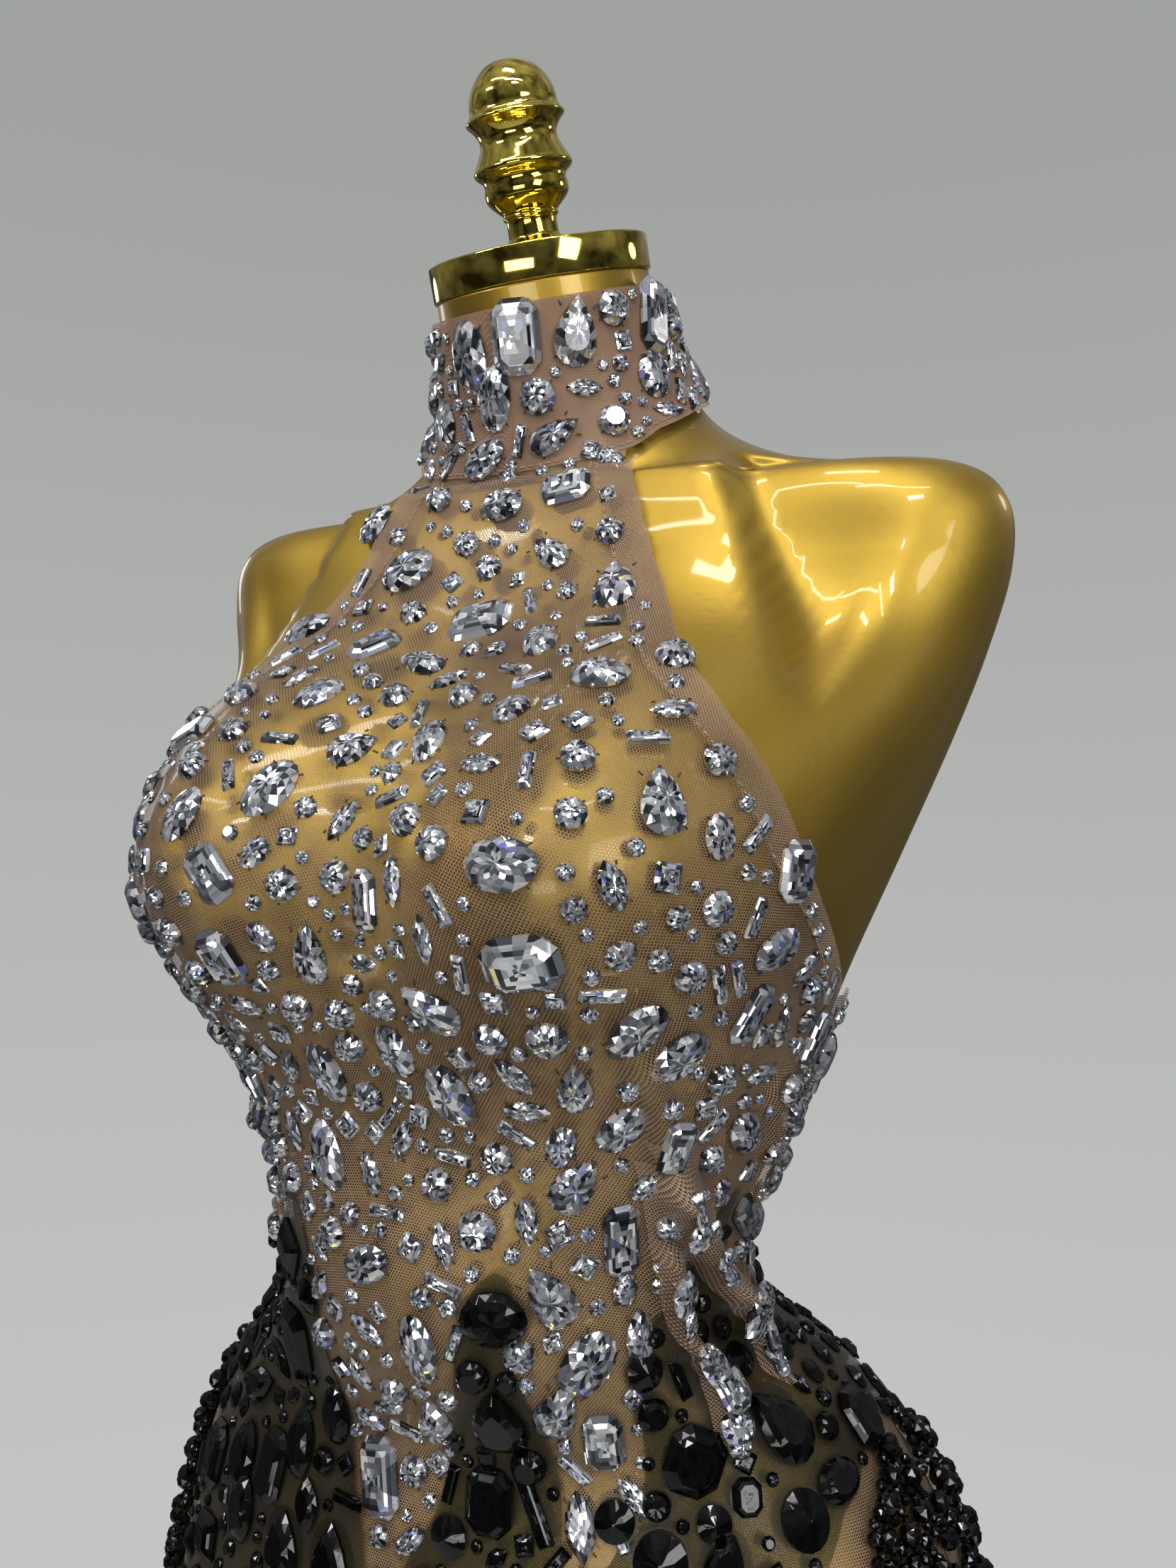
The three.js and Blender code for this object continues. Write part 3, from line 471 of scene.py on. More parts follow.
def cloth(name, station, angle, distance, material):
    points = off_skin(station, angle, np.broadcast_to(distance, station.shape) / 1000)
    uv = cloth_lengths(station, np.broadcast_to(angle, station.shape)).reshape(-1, 2)
    return mesh_piece(name, points.reshape(-1, 3), grid_faces(*station.shape), material, uv=uv)


rows = np.concatenate([np.arange(HEM, 6, 0.1), np.arange(6, 11, 0.05), np.linspace(11, FRONT_NECK, 150)])
across = np.linspace(-1, 1, 161)
station = np.repeat(rows[:, None], len(across), axis=1)
front_angle = across[None, :] * edge_angle(station)
front_station = station + seam_lift(station, front_angle)
off = NET_OFF + fold_height(front_station, front_angle)
front = cloth("front", front_station, front_angle, off, nude_net)
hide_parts("dress_front")

from_back = np.linspace(89.8, -89.8, 141)
top_edge = back_edge(from_back)
part = np.linspace(0, 1, 230)[:, None]
back_station = HEM + (top_edge[None, :] - HEM) * part
back_angle = np.broadcast_to(180 - from_back, back_station.shape)
back = cloth("back", back_station, back_angle, NET_OFF, nude_net)
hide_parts("dress_back")

angle = np.linspace(-180, 180, 181)[None, :]
foot = collar_foot(angle) - 0.05
station = foot + (COLLAR_TOP - foot) * np.linspace(0, 1, 50)[:, None]
collar = cloth("neck_band", station, np.broadcast_to(angle, station.shape), NET_OFF + 0.8, nude_double)
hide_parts("collar")

# ---- doubled edges ----
# The armholes and the back's top edge are turned in and stitched down.
TURNING = 0.017


# The degrees that a length over the net takes up at the armhole's edge.
def degrees_at_edge(rows_up, length):
    edge = edge_angle(rows_up)
    return 4 * length / np.linalg.norm(skin(rows_up, edge) - skin(rows_up, edge - 4), axis=-1)


wide = np.linspace(0, 1, 8)
for side, name in ((1, "armhole_band_left"), (-1, "armhole_band_right")):
    rows_up = np.linspace(11.02, 19.7, 150)
    inward = degrees_at_edge(rows_up, TURNING)[:, None] * (wide[::-1] if side > 0 else wide)
    angle = side * (edge_angle(rows_up)[:, None] - inward)
    station = np.repeat(rows_up[:, None], len(wide), axis=1)
    cloth(name, station + seam_lift(station, angle), angle, NET_OFF + 0.5, nude_net)
angle = np.broadcast_to(180 - from_back, (len(wide), len(from_back)))
station = top_edge[None, :] - TURNING * 22 * (1 - wide[:, None])
back_band = cloth("back_top_band", station, angle, NET_OFF + 0.5, nude_net)

# ---- black overlay ----
# Black net over the nude one on the skirt. Its upper edge is cut in tall lobes with
# bare fingers between them, which fan out from the front's middle.
OVERLAY_OFF = 4.6
OVERLAY_EDGE = np.array([
    # station, half angle: the hips stay bare under the bead strings
    [0, 90], [2, 90], [2.7, 78], [3.5, 65], [4.5, 56], [5.5, 54], [6.3, 57], [6.6, 66], [6.9, 82],
    [7.05, 90],
    [12, 90],
])
# The front's lobes spread to the wearer's left above a level: by this share of the angle
# from start to end, for each station.
FAN = dict(station=6, start=-5, end=27, spread=0.42)
WIDEST = FAN["spread"] * (FAN["end"] - FAN["start"])
OVERLAY_TOP = np.array([
    # angle at the fan's level, station
    [-90, 8.2], [-76, 8.5], [-62, 8.9], [-50, 8.5], [-40, 9], [-33, 9.3], [-28, 9.2], [-25, 8.8],
    [-23, 8.2], [-20, 7.8],
    [-17, 7.3], [-14, 7.0], [-11, 6.5], [-8, 6.2], [-5, 5.6], [-2, 6.0], [0.5, 6.5], [1.6, 7.0], [2.4, 7.5],
    [3.6, 7.75],
    [4.3, 8.1], [4.7, 8.5], [5.2, 8.75], [6.1, 8.92], [7.3, 9.0], [8.6, 8.95], [9.5, 8.8], [10, 8.6],
    [10.3, 8.3], [11, 8.0],
    [12, 7.7], [12.8, 7.2], [14, 6.8], [15.5, 6.3], [18, 5.9], [20, 6.2], [22.4, 6.7], [23, 7.0],
    [23.6, 7.6], [24.6, 8.0],
    [25.2, 8.6], [26.2, 9.1], [27.6, 9.35], [30, 9.45], [33, 9.5], [38, 9.5], [45, 9.4], [60, 9.0],
    [75, 8.6], [90, 8.2],
])
BACK_OVERLAY_TOP = np.array([
    # angle from the centre back, station
    [-90, 8.2], [-66, 8.8], [-50, 7.4], [-34, 8.9], [-16, 7.2], [0, 9], [16, 7.2], [34, 8.9], [50, 7.4],
    [66, 8.8], [90, 8.2],
])


def overlay_edge(station):
    return read_off(OVERLAY_EDGE, station)


def back_overlay_top(from_centre):
    return read_off(BACK_OVERLAY_TOP, from_centre)


# Places on an overlay by the angle of its column and the part of the way up. The outer
# half of the columns draws in with the edge, and the front's fan out.
def overlay_place(centre, middle, part, top_table):
    station = HEM + (read_off(top_table, middle) - HEM) * part
    outer = np.clip((np.abs(middle) - 45) / 45, 0, 1)
    angle = middle + np.sign(middle) * outer * (overlay_edge(station) - 90)
    if centre == 0:
        within = FAN["spread"] * np.clip(middle - FAN["start"], 0, None)
        beyond = WIDEST * (90 - middle) / (90 - FAN["end"])
        above = np.clip(station - FAN["station"], 0, None)
        angle = angle + np.where(middle > FAN["end"], beyond, within) * above
    return station, centre + angle


overlays = []
for name, node, centre, table, columns in (
    ("overlay_front_net", "overlay_front", 0, OVERLAY_TOP, 481),
    ("overlay_back_net", "overlay_back", 180, BACK_OVERLAY_TOP, 241),
):
    middle = np.linspace(-90, 90, columns)[None, :]
    part = (np.linspace(0, 1, 170) ** 0.85)[:, None]
    station, angle = overlay_place(centre, middle, part, table)
    piece = cloth(name, station, angle, OVERLAY_OFF + fold_height(station, angle), black_net)
    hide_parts(node)
    places = station, angle
    station, angle = overlay_place(centre, middle, np.linspace(0, 0.035, 8)[:, None], table)
    hem = cloth(name + "_hem", station, angle, OVERLAY_OFF + 0.4, black_double)
    overlays.append((piece, hem, places))


# The overlay's upper edge above a place on the front: the fan taken back.
def overlay_top(angle, station):
    above = np.clip(station - FAN["station"], 0, 4)
    within = (angle - FAN["start"]) / (1 + FAN["spread"] * above) + FAN["start"]
    share = WIDEST / (90 - FAN["end"]) * above
    beyond = (angle - 90 * share) / (1 - share)
    middle = np.where(angle > FAN["end"] + WIDEST * above, beyond,
                      np.where(angle > FAN["start"], within, angle))
    return read_off(OVERLAY_TOP, middle)


# Two tongues of the nude net hang through the overlay in folds below the waist.
TONGUES = [np.array(table) for table in (
    # station, angle, half its breadth in degrees
    [[7.12, 52.5, 0.4], [7.3, 55.5, 4], [7.6, 61, 4.2], [7.88, 63.5, 3.2], [8.2, 61.5, 2.2],
     [8.8, 60.5, 3.4], [9.3, 57.5, 4.5],
     [9.9, 53, 8]],
    [[7.46, 77.5, 0.4], [7.65, 79, 4], [7.92, 80.5, 3], [8.2, 82, 4], [8.64, 76.5, 5], [9.16, 66, 4.5],
     [9.7, 60, 7],
     [10.1, 55, 9]],
)]


def tongue_share(station, angle, margin):
    share = np.zeros(np.shape(station))
    for table in TONGUES:
        middle, half = (read_off(table, station, c) for c in (1, 2))
        ends = (station > table[0, 0]) & (station < table[-1, 0])
        share = np.maximum(share, smooth(half + margin - np.abs(angle - middle)) * ends)
    return share


for k, table in enumerate(TONGUES):
    station = np.repeat(np.linspace(table[0, 0], table[-1, 0], 90)[:, None], 21, axis=1)
    middle, half = (read_off(table, station, c) for c in (1, 2))
    share = np.linspace(-1, 1, 21)[None, :]
    angle = middle + share * half
    over = 1 - smooth((station - 9) / 0.8)
    raised = OVERLAY_OFF - NET_OFF + 0.8 + 3 * (1 - share ** 2)
    off = NET_OFF + 0.8 + fold_height(station, angle) + over * raised
    cloth(f"tongue_{k}", station, angle, off, nude_net)


# The bodice has two layers of net outside the overlay and one beneath it, and is stretched
# thinnest over the bust. The overlay is cut away beneath the tongues.
def mark_cut(piece, values):
    marks = piece.data.attributes.new("cut", "FLOAT", "POINT")
    marks.data.foreach_set("value", values.astype(np.float32).ravel())


def covered(station, angle, top):
    return smooth((top - station) / 0.12 + 0.5) * smooth(overlay_edge(station) - np.abs(angle) + 0.5)


shown = 1 - tongue_share(front_station, front_angle, 0)
beneath = 0.6 * shown * covered(front_station, front_angle, overlay_top(front_angle, front_station))
stretched_thin = 0.35 * np.exp(-((front_station - 12.9) / 1.5) ** 2)
mark_cut(front, np.maximum(beneath, stretched_thin))
mark_cut(back, 0.6 * covered(back_station, back_angle - 180, back_overlay_top(back_angle - 180)))
mark_cut(overlays[0][0], tongue_share(*overlays[0][2], -0.8))


# ---- stones ----
# Faceted acrylic and glass stones with foil backs, each with a girdle, a crown and a
# table. Round and pointed outlines have kites between their rings; straight ones steps.
CUTS = {
    # kind: the corners' share of the width, then the rings' shares of outline and height
    "octagon": (0.26, [(0.97, 0), (1, 0.3), (0.8, 0.72), (0.6, 1)]),
    "baguette": (0.06, [(0.97, 0), (1, 0.3), (0.7, 0.85), (0.5, 1)]),
    "square": (0.08, [(0.97, 0), (1, 0.3), (0.75, 0.75), (0.5, 1)]),
    "rivoli": (0, [(0.97, 0), (1, 0.3), (0.5, 0.7), (0.06, 1)]),
    "small": (0, [(0.97, 0), (1, 0.3), (0.6, 1)]),
    "curved": (0, [(0.97, 0), (1, 0.28), (0.82, 0.7), (0.58, 1)]),
}


def outline(kind, turn):
    x, y = np.sin(turn), np.cos(turn)
    if kind == "navette":
        return np.sign(x) * x * x, y
    if kind == "pear":
        return x * np.sin(turn / 2) ** 0.9 * 1.12, y
    return x, y


def ring_points(kind, length, width, share, corner, sides, shift):
    if corner:
        a, b, cut = width * share / 2, (length - width * (1 - share)) / 2, corner * width * share
        return [(a - cut, b), (a, b - cut), (a, cut - b), (a - cut, -b), (cut - a, -b), (-a, cut - b),
                (-a, b - cut), (cut - a, b)]
    x, y = outline(kind, (np.arange(sides) + shift) * 2 * math.pi / sides)
    return list(zip(x * share * width / 2, y * share * length / 2))


def stone_mesh(kind, length, width, height):
    small = width < 4.7
    corner, rings = CUTS.get(kind, CUTS["small" if small else "curved"])
    sides = 8 if corner or small else 16 if width > 9 else 10
    points, faces = [], []
    for k, (share, part) in enumerate(rings):
        shift = 0.5 * (max(k - 1, 0) % 2)
        ring = ring_points(kind, length, width, share, corner, sides, shift)
        points += [(x, y, part * height) for x, y in ring]
    for k in range(len(rings) - 1):
        for j in range(sides):
            a, b = k * sides + j, k * sides + (j + 1) % sides
            c, d = b + sides, a + sides
            if corner or k == 0:
                faces.append((d, c, b, a))
            elif k % 2:
                faces += [(d, b, a), (d, c, b)]
            else:
                faces += [(c, b, a), (d, c, a)]
    last = (len(rings) - 1) * sides
    faces.append(tuple(range(last + sides - 1, last - 1, -1)))
    return np.array(points), faces


# Where stones lie: their centres, and the ways out, along and across each.
def seats(station, angle, turn):
    normal = outward(station, angle)
    up = np.array([0, 0, 1.0]) - normal[..., 2:] * normal
    up /= np.linalg.norm(up, axis=-1, keepdims=True)
    side = np.cross(up, normal)
    lean = np.radians(turn)[..., None]
    along, across = up * np.cos(lean) + side * np.sin(lean), side * np.cos(lean) - up * np.sin(lean)
    return skin(station, angle), normal, along, across


# A table of stones has station, angle, length, width, turn from upright towards the
# wearer's left in degrees, and kind.
def columns_of(stones):
    columns = [np.array([stone[k] for stone in stones], float) for k in range(5)]
    return columns + [[stone[5] for stone in stones]]


# Their seats at a height in millimetres over the net and its folds.
def seats_over(stones, off):
    station, angle, lengths, widths, turns, kinds = columns_of(stones)
    centre, normal, along, across = seats(station, angle, turns)
    centre = centre + normal * (off + fold_height(station, angle)[:, None]) / 1000
    return centre, normal, along, across, lengths, widths, kinds


# Many small closed shapes in one mesh. Each comes with its points, faces, the places of its
# points on the facets' pattern, a number of its own and whether it is step cut.
def many(name, shapes, material):
    points, faces, places, numbers, stepped, count = [], [], [], [], [], 0
    for shape, shape_faces, place, own_number, steps in shapes:
        points.append(shape)
        faces += [tuple(corner + count for corner in face) for face in shape_faces]
        places.append(place)
        numbers += [float(own_number)] * len(shape_faces)
        stepped += [float(steps)] * len(shape_faces)
        count += len(shape)
    return mesh_piece(name, np.concatenate(points), faces, material, uv=np.concatenate(places),
                      smooth_faces=False, marks={"stone": numbers, "stepped": stepped})


def set_stones(name, stones, off, material):
    centre, normal, along, across, lengths, widths, kinds = seats_over(stones, off)
    shapes = []
    for k, kind in enumerate(kinds):
        height = {"baguette": 0.5, "round": 0.38}.get(kind, 0.28) * widths[k]
        shape, faces = stone_mesh(kind, lengths[k], widths[k], min(max(height, 1.3), 5.2))
        points = centre[k] + (shape[:, :1] * across[k] + shape[:, 1:2] * along[k]
                              + shape[:, 2:] * normal[k]) / 1000
        place = shape[:, :2] / (widths[k] / 2, lengths[k] / 2)
        shapes.append((points, faces, place, k % 61, kind in ("octagon", "baguette", "square")))
    return many(name, shapes, material)


BIG_STONES = [
    # station, angle, length, width, turn from upright, kind
    (22.85, 11, 31, 21, 0, "octagon"),
    (22.6, -14, 31, 19, 8, "oval"),
    (22.75, 37, 29, 21, 0, "pear"),
    (22.85, 80, 33, 17, 0, "octagon"),
    (23.1, 57, 15, 15, 0, "round"),
    (21.5, 67, 22, 17, 0, "oval"),
    (20.75, -56, 22, 13, 15, "oval"),
    (21.6, -4, 28, 17, 10, "oval"),
    (21.5, 15, 16, 16, 0, "round"),
    (20.6, 41, 14, 14, 0, "round"),
    (16.15, 0, 21, 16, 90, "oval"),
    (16.1, -18, 22, 13, 25, "oval"),
    (14.95, -10, 26, 22, 60, "oval"),
    (14.4, 16, 26, 21, -10, "pear"),
    (14.05, 1, 29, 22, 80, "octagon"),
    (13.4, 30, 15, 15, 0, "round"),
    (13.2, 23, 23, 17, 95, "oval"),
    (14.15, -23.5, 24, 15, 55, "oval"),
    (13.15, -11, 22, 15, 40, "oval"),
    (12.9, 15, 15, 13, 45, "oval"),
    (12.65, -3, 20, 17, 60, "pear"),
    (12.35, -10, 27, 18, 25, "oval"),
    (12.5, 16, 17, 9, 90, "navette"),
    (12.2, 19, 9, 9, 0, "square"),
    (12.3, 40, 24, 19, 0, "pear"),
    (12.2, 31, 11, 11, 0, "round"),
    (12.15, -1, 18, 9, 25, "navette"),
    (12.15, 9, 13, 13, 0, "round"),
    (12.1, 49, 16, 12, 0, "oval"),
    (11.9, 25, 25, 18, 90, "oval"),
    (11.65, 4, 22, 12, 0, "octagon"),
    (11.8, 39, 18, 10, -25, "navette"),
    (11.9, 63, 22, 16, 0, "octagon"),
    (11.85, 45, 10, 10, 5, "square"),
    (11.35, 29, 27, 22, 80, "octagon"),
    (11.25, -19, 24, 17, -15, "octagon"),
    (11.3, -5, 25, 15, 0, "pear"),
    (11.45, 14, 19, 8, 5, "navette"),
    (11.25, 2, 14, 8, 90, "navette"),
    (11, 13, 25, 18, -50, "pear"),
    (11.4, 42, 11, 11, 0, "round"),
    (11.15, 40, 16, 5, 88, "baguette"),
    (10.85, 31, 15, 15, 0, "round"),
    (10.9, 45, 26, 17, 30, "oval"),
    (10.7, 52, 24, 17, 35, "oval"),
    (10.95, 65, 24, 12, 18, "octagon"),
    (10.65, 83, 25, 14, 12, "octagon"),
    (10.4, -10, 27, 15, -10, "oval"),
    (10.35, 12, 27, 18, -15, "oval"),
    (10.55, 24, 19, 10, -35, "navette"),
    (10, 31, 18, 11, 15, "oval"),
    (9.7, 35, 24, 18, 35, "pear"),
    (10.05, 52, 23, 12, 5, "octagon"),
    (9.7, -15, 28, 16, -20, "oval"),
    (9.3, 18, 15, 15, 0, "round"),
    (9.24, 48, 28, 14, -8, "octagon"),
    (8.3, 53, 24, 12, -5, "navette"),
    (8.8, 50.5, 13, 10, 0, "oval"),
    (9.52, 70, 14, 10, -30, "oval"),
    (9.15, 87, 34, 13, -55, "octagon"),
    (8.8, 34, 26, 19, -35, "pear"),
    (8.2, 5, 29, 15, -5, "oval"),
    (8.15, 40, 26, 19, 35, "oval"),
    (7.35, 3, 23, 18, 0, "pear"),
    (7.7, 29, 24, 18, 20, "pear"),
    (6.6, -7, 30, 18, -10, "octagon"),
    (6.6, 22, 25, 12, -10, "navette"),
]

# The rest are strewn, each size where there is still room for it. A long stone takes
# the room of three circles in a row.
def circles(centre, along, length, width):
    ends = np.array([-1, 0, 1]) if length > width * 1.15 else np.array([0])
    middles = centre * 1000 + along * (ends * (length - width) / 2)[:, None]
    return np.concatenate([middles, np.full((len(ends), 1), width / 2)], axis=1)


def strew(placed, spots, fits, sizes, room):
    taken = np.full((1, 4), 1e6)
    if placed:
        station, angle, lengths, widths, turns, kinds = columns_of(placed)
        centre, normal, along, across = seats(station, angle, turns)
        taken = np.concatenate([circles(*stone) for stone in zip(centre, along, lengths, widths)])
    for kinds, length, width, gap, wanted in sizes:
        station, angle = spots(wanted * 30)
        turns = rng.uniform(-90, 90, len(station))
        centre, normal, along, across = seats(station, angle, turns)
        gaps = gap * room(station)
        made = 0
        for k in np.flatnonzero(fits(station, angle, width / 2)):
            new = circles(centre[k], along[k], length, width)
            apart = np.linalg.norm(taken[:, None, :3] - new[None, :, :3], axis=-1)
            if (apart < taken[:, 3:] + width / 2 + gaps[k]).any():
                continue
            placed.append((station[k], angle[k], length, width, turns[k], kinds[rng.integers(len(kinds))]))
            taken = np.concatenate([taken, new])
            made += 1
            if made == wanted:
                break
    return placed


# Places spread evenly over the cloth between two stations and two angles.
def even_spots(low, high, first, last):
    stations, angles = np.linspace(low, high, 121), np.linspace(first, last, 121)
    grid = skin(stations[:, None], angles[None, :])
    area = np.linalg.norm(np.cross(grid[1:, :-1] - grid[:-1, :-1], grid[:-1, 1:] - grid[:-1, :-1]),
                          axis=-1).ravel()

    def spots(count):
        i, j = np.divmod(rng.choice(area.size, count, p=area / area.sum()), 120)
        jitter = rng.random((2, count))
        station = stations[i] + jitter[0] * (stations[1] - stations[0])
        return station, angles[j] + jitter[1] * (angles[1] - angles[0])
    return spots


def front_fits(station, angle, radius):
    inside = np.abs(angle) < edge_angle(station) - radius * 0.55 - 1
    bare_hip = (station < 7) & (np.abs(angle) > overlay_edge(station) - 2)
    return inside & ~bare_hip & (station > overlay_top(angle, station) + 0.04 + radius * 0.02)


FRONT_SIZES = [
    # kinds, length, width, gap, how many
    (["oval", "octagon", "pear"], 23, 15, 2.6, 24),
    (["navette"], 18, 9, 2.4, 34),
    (["round"], 12.5, 12.5, 2.3, 62),
    (["baguette"], 15, 5, 1.9, 52),
    (["square"], 9, 9, 1.9, 64),
    (["oval"], 13, 9.5, 1.8, 50),
    (["navette"], 13, 6.5, 1.6, 38),
    (["round"], 9, 9, 1.6, 120),
    (["square"], 7, 7, 1.5, 50),
    (["round"], 6.5, 6.5, 1.4, 190),
    (["round"], 5.2, 5.2, 1.3, 170),
]
front_stones = strew([s for s in BIG_STONES if s[0] < 19.7], even_spots(5.4, 19.5, -90, 90), front_fits,
                     FRONT_SIZES, lambda station: 0.7 + 2.1 * smooth((station - 10) / 4))
stones_front = set_stones("stones_front", front_stones, NET_OFF + 0.2, clear_stone)


TONGUE_STONES = [
    # station, angle, length, width, turn from upright, kind
    (8.84, 60, 20, 11, 0, "navette"),
    (8.5, 61.3, 14, 6, 0, "navette"),
    (8.16, 61.8, 8, 8, 0, "round"),
    (7.9, 63.5, 19, 12, -30, "oval"),
    (7.66, 62, 17, 13, -20, "octagon"),
    (7.37, 57, 14, 14, 0, "round"),
    (7.24, 54.5, 10, 10, 0, "round"),
    (9.4, 60, 13, 10, 0, "oval"),
    (9.14, 68, 11, 9, 0, "oval"),
    (8.9, 71, 12, 7, -60, "navette"),
    (8.68, 77, 16, 9, -40, "oval"),
    (8.42, 81, 12, 8, -20, "oval"),
    (8.18, 80.5, 30, 13, 68, "navette"),
    (7.93, 80, 15, 6, 15, "baguette"),
    (7.77, 79.5, 17, 10, 0, "navette"),
    (7.62, 78.5, 11, 8, 0, "round"),
]
set_stones("stones_tongues", TONGUE_STONES, OVERLAY_OFF + 3.8, clear_stone)


def collar_fits(station, angle, radius):
    return (station > collar_foot(angle) + radius * 0.05) & (station < COLLAR_TOP - radius * 0.05)


COLLAR_SIZES = [
    # kinds, length, width, gap, how many
    (["oval", "octagon", "pear"], 24, 15, 1.5, 14),
    (["navette"], 16, 8, 1.4, 14),
    (["round"], 12, 12, 1.3, 18),
    (["baguette"], 14, 5, 1.2, 14),
    (["round", "square"], 8, 8, 1.1, 36),
    (["round"], 6.2, 6.2, 1.0, 60),
    (["round"], 5, 5, 1.0, 90),
]
collar_stones = strew([s for s in BIG_STONES if s[0] >= 19.7], even_spots(19.7, COLLAR_TOP, -176, 176),
                      collar_fits, COLLAR_SIZES, lambda station: np.ones(len(station)))
stones_collar = set_stones("stones_collar", collar_stones, NET_OFF + 1.0, clear_stone)


def back_fits(station, angle, radius):
    clear_of_black = station > back_overlay_top(angle - 180) + 0.05 + radius * 0.02
    return clear_of_black & (station < back_edge(angle - 180) - radius * 0.03)


BACK_SIZES = [
    (kinds, length, width, gap, max(6, wanted // 3)) for kinds, length, width, gap, wanted in FRONT_SIZES
]
back_stones = strew([], even_spots(7, 10.95, 91, 269), back_fits, BACK_SIZES,
                    lambda station: 0.7 * np.ones(len(station)))
stones_back = set_stones("stones_back", back_stones, NET_OFF + 0.2, clear_stone)

# ---- jet stones ----
# Black stones on the overlay, the larger ones in a puddle of dried glue.
BIG_JETS = [
    # station, angle, length, width, turn, kind
    (8.6, 22.5, 25, 21, 88, "round"),
    (7.56, 16.5, 31, 25, 0, "pear"),
    (8.04, 16, 13, 13, 0, "round"),
    (8.0, 22.5, 9, 9, 0, "round"),
    (6.68, 9.5, 25, 19, 0, "octagon"),
    (6.68, 16, 26, 6.5, -25, "baguette"),
    (7.06, 17, 14, 14, 0, "round"),
    (6.36, 3.5, 15, 15, 0, "rivoli"),
    (7.28, 66, 32, 24, -40, "pear"),
    (7.04, 86, 24, 20, 0, "octagon"),
    (7.16, 45, 24, 22, 20, "octagon"),
    (6.64, 58, 21, 19, 0, "rivoli"),
    (6.8, 69, 21, 15, 80, "oval"),
    (6.68, 42.5, 13, 13, 0, "rivoli"),
    (6.68, 27.5, 15, 15, 0, "rivoli"),
    (6.44, 32.5, 20, 20, 0, "rivoli"),
    (6.84, 50, 13, 11, 0, "octagon"),
    (6.44, 42, 20, 17, 20, "pear"),
    (7.62, 46, 12, 12, 0, "round"),
    (7.8, -30.5, 30, 19, 10, "octagon"),
    (7.0, -17, 25, 15, 5, "oval"),
    (6.6, -23, 28, 16, 0, "oval"),
    (6.32, -27.5, 29, 17, 5, "octagon"),
    (6.24, -36, 28, 18, 0, "oval"),
    (6.05, -46, 28, 19, 0, "octagon"),
    (6.2, -18, 21, 13, -10, "navette"),
    (5.9, -32, 27, 17, 0, "oval"),
    (5.85, -21, 27, 22, 0, "pear"),
    (5.9, -12, 30, 22, 0, "pear"),
]
JET_SIZES = [
    # kinds, length, width, gap, how many
    (["oval", "octagon", "pear"], 26, 17, 2.2, 36),
    (["square"], 18, 18, 2.2, 8),
    (["navette"], 22, 10, 1.8, 40),
    (["rivoli"], 14, 14, 1.8, 66),
    (["rivoli", "round"], 10.5, 10.5, 1.5, 150),
    (["baguette"], 15, 5, 1.4, 50),
    (["navette"], 11, 6.5, 1.3, 90),
    (["round", "square"], 7.5, 7.5, 1.3, 210),
    (["round"], 5.2, 5.2, 1.2, 280),
]


def overlay_fits(station, angle, radius):
    inside = np.abs(angle) < overlay_edge(station) - radius * 0.4
    below_edge = station < overlay_top(angle, station) - 0.05 - radius * 0.03
    return inside & below_edge & (tongue_share(station, angle, 2.5) < 0.5)


def back_overlay_fits(station, angle, radius):
    inside = np.abs(angle - 180) < overlay_edge(station) - radius * 0.4
    return inside & (station < back_overlay_top(angle - 180) - 0.05 - radius * 0.03)


jets, glued = [], []
for name, started, spots, fits in (
    ("jets_front", BIG_JETS, even_spots(0.8, 9.2, -90, 90), overlay_fits),
    ("jets_back", [], even_spots(0.8, 9.2, 90, 270), back_overlay_fits),
):
    table = strew(list(started), spots, fits, JET_SIZES, lambda station: np.ones(len(station)))
    jets.append(set_stones(name, table, OVERLAY_OFF + 0.3, jet_stone))
    glued += [stone for stone in table if stone[3] > 10]

centre, normal, along, across, lengths, widths, kinds = seats_over(glued, OVERLAY_OFF + 0.15)
points, faces, sides = [], [], 20
for k, kind in enumerate(kinds):
    lap = rng.uniform(0.6, 1.7)
    x, y = outline("navette" if kind == "navette" else "oval",
                   np.linspace(0, 2 * math.pi, sides, endpoint=False))
    x, y = x * (widths[k] / 2 + lap), y * (lengths[k] / 2 + lap)
    faces.append(tuple(range(sides * k + sides - 1, sides * k - 1, -1)))
    points.append(centre[k] + (x[:, None] * across[k] + y[:, None] * along[k]) / 1000)
mesh_piece("glue", np.concatenate(points), faces, glue)

# ---- thread ----
# Each larger clear stone is caught by thread at its four corners. Seams and turned
# edges have lines of running stitch.
def dashes(name, start, end, normal, wide, thick, material):
    along = end - start
    side = np.cross(normal, along)
    side *= (wide / 2000 / np.linalg.norm(side, axis=-1))[:, None]
    lift = normal * thick / 1000
    corners = np.stack([start - side, start + side, end + side, end - side], axis=1)
    points = np.concatenate([corners, corners + lift[:, None, :]], axis=1).reshape(-1, 3)
    box = [(3, 2, 1, 0), (4, 5, 6, 7), (0, 1, 5, 4), (1, 2, 6, 5), (2, 3, 7, 6), (3, 0, 4, 7)]
    faces = [tuple(8 * k + corner for corner in face) for k in range(len(start)) for face in box]
    mesh_piece(name, points, faces, material)


caught = [stone for stone in front_stones + collar_stones + back_stones if stone[3] > 8.5]
centre, normal, along, across, lengths, widths, kinds = seats_over(caught, NET_OFF + 1.1)
starts, ends = [], []
for x, y in ((1, 1), (1, -1), (-1, -1), (-1, 1)):
    corner = (across * (x * widths[:, None]) + along * (y * lengths[:, None])) / 2000
    starts.append(centre + corner * 0.66)
    ends.append(centre + corner * 0.8 - normal * 0.0007)
dashes("stone_stitches", np.concatenate(starts), np.concatenate(ends), np.tile(normal, (4, 1)), 0.6, 0.5,
       dark_thread)


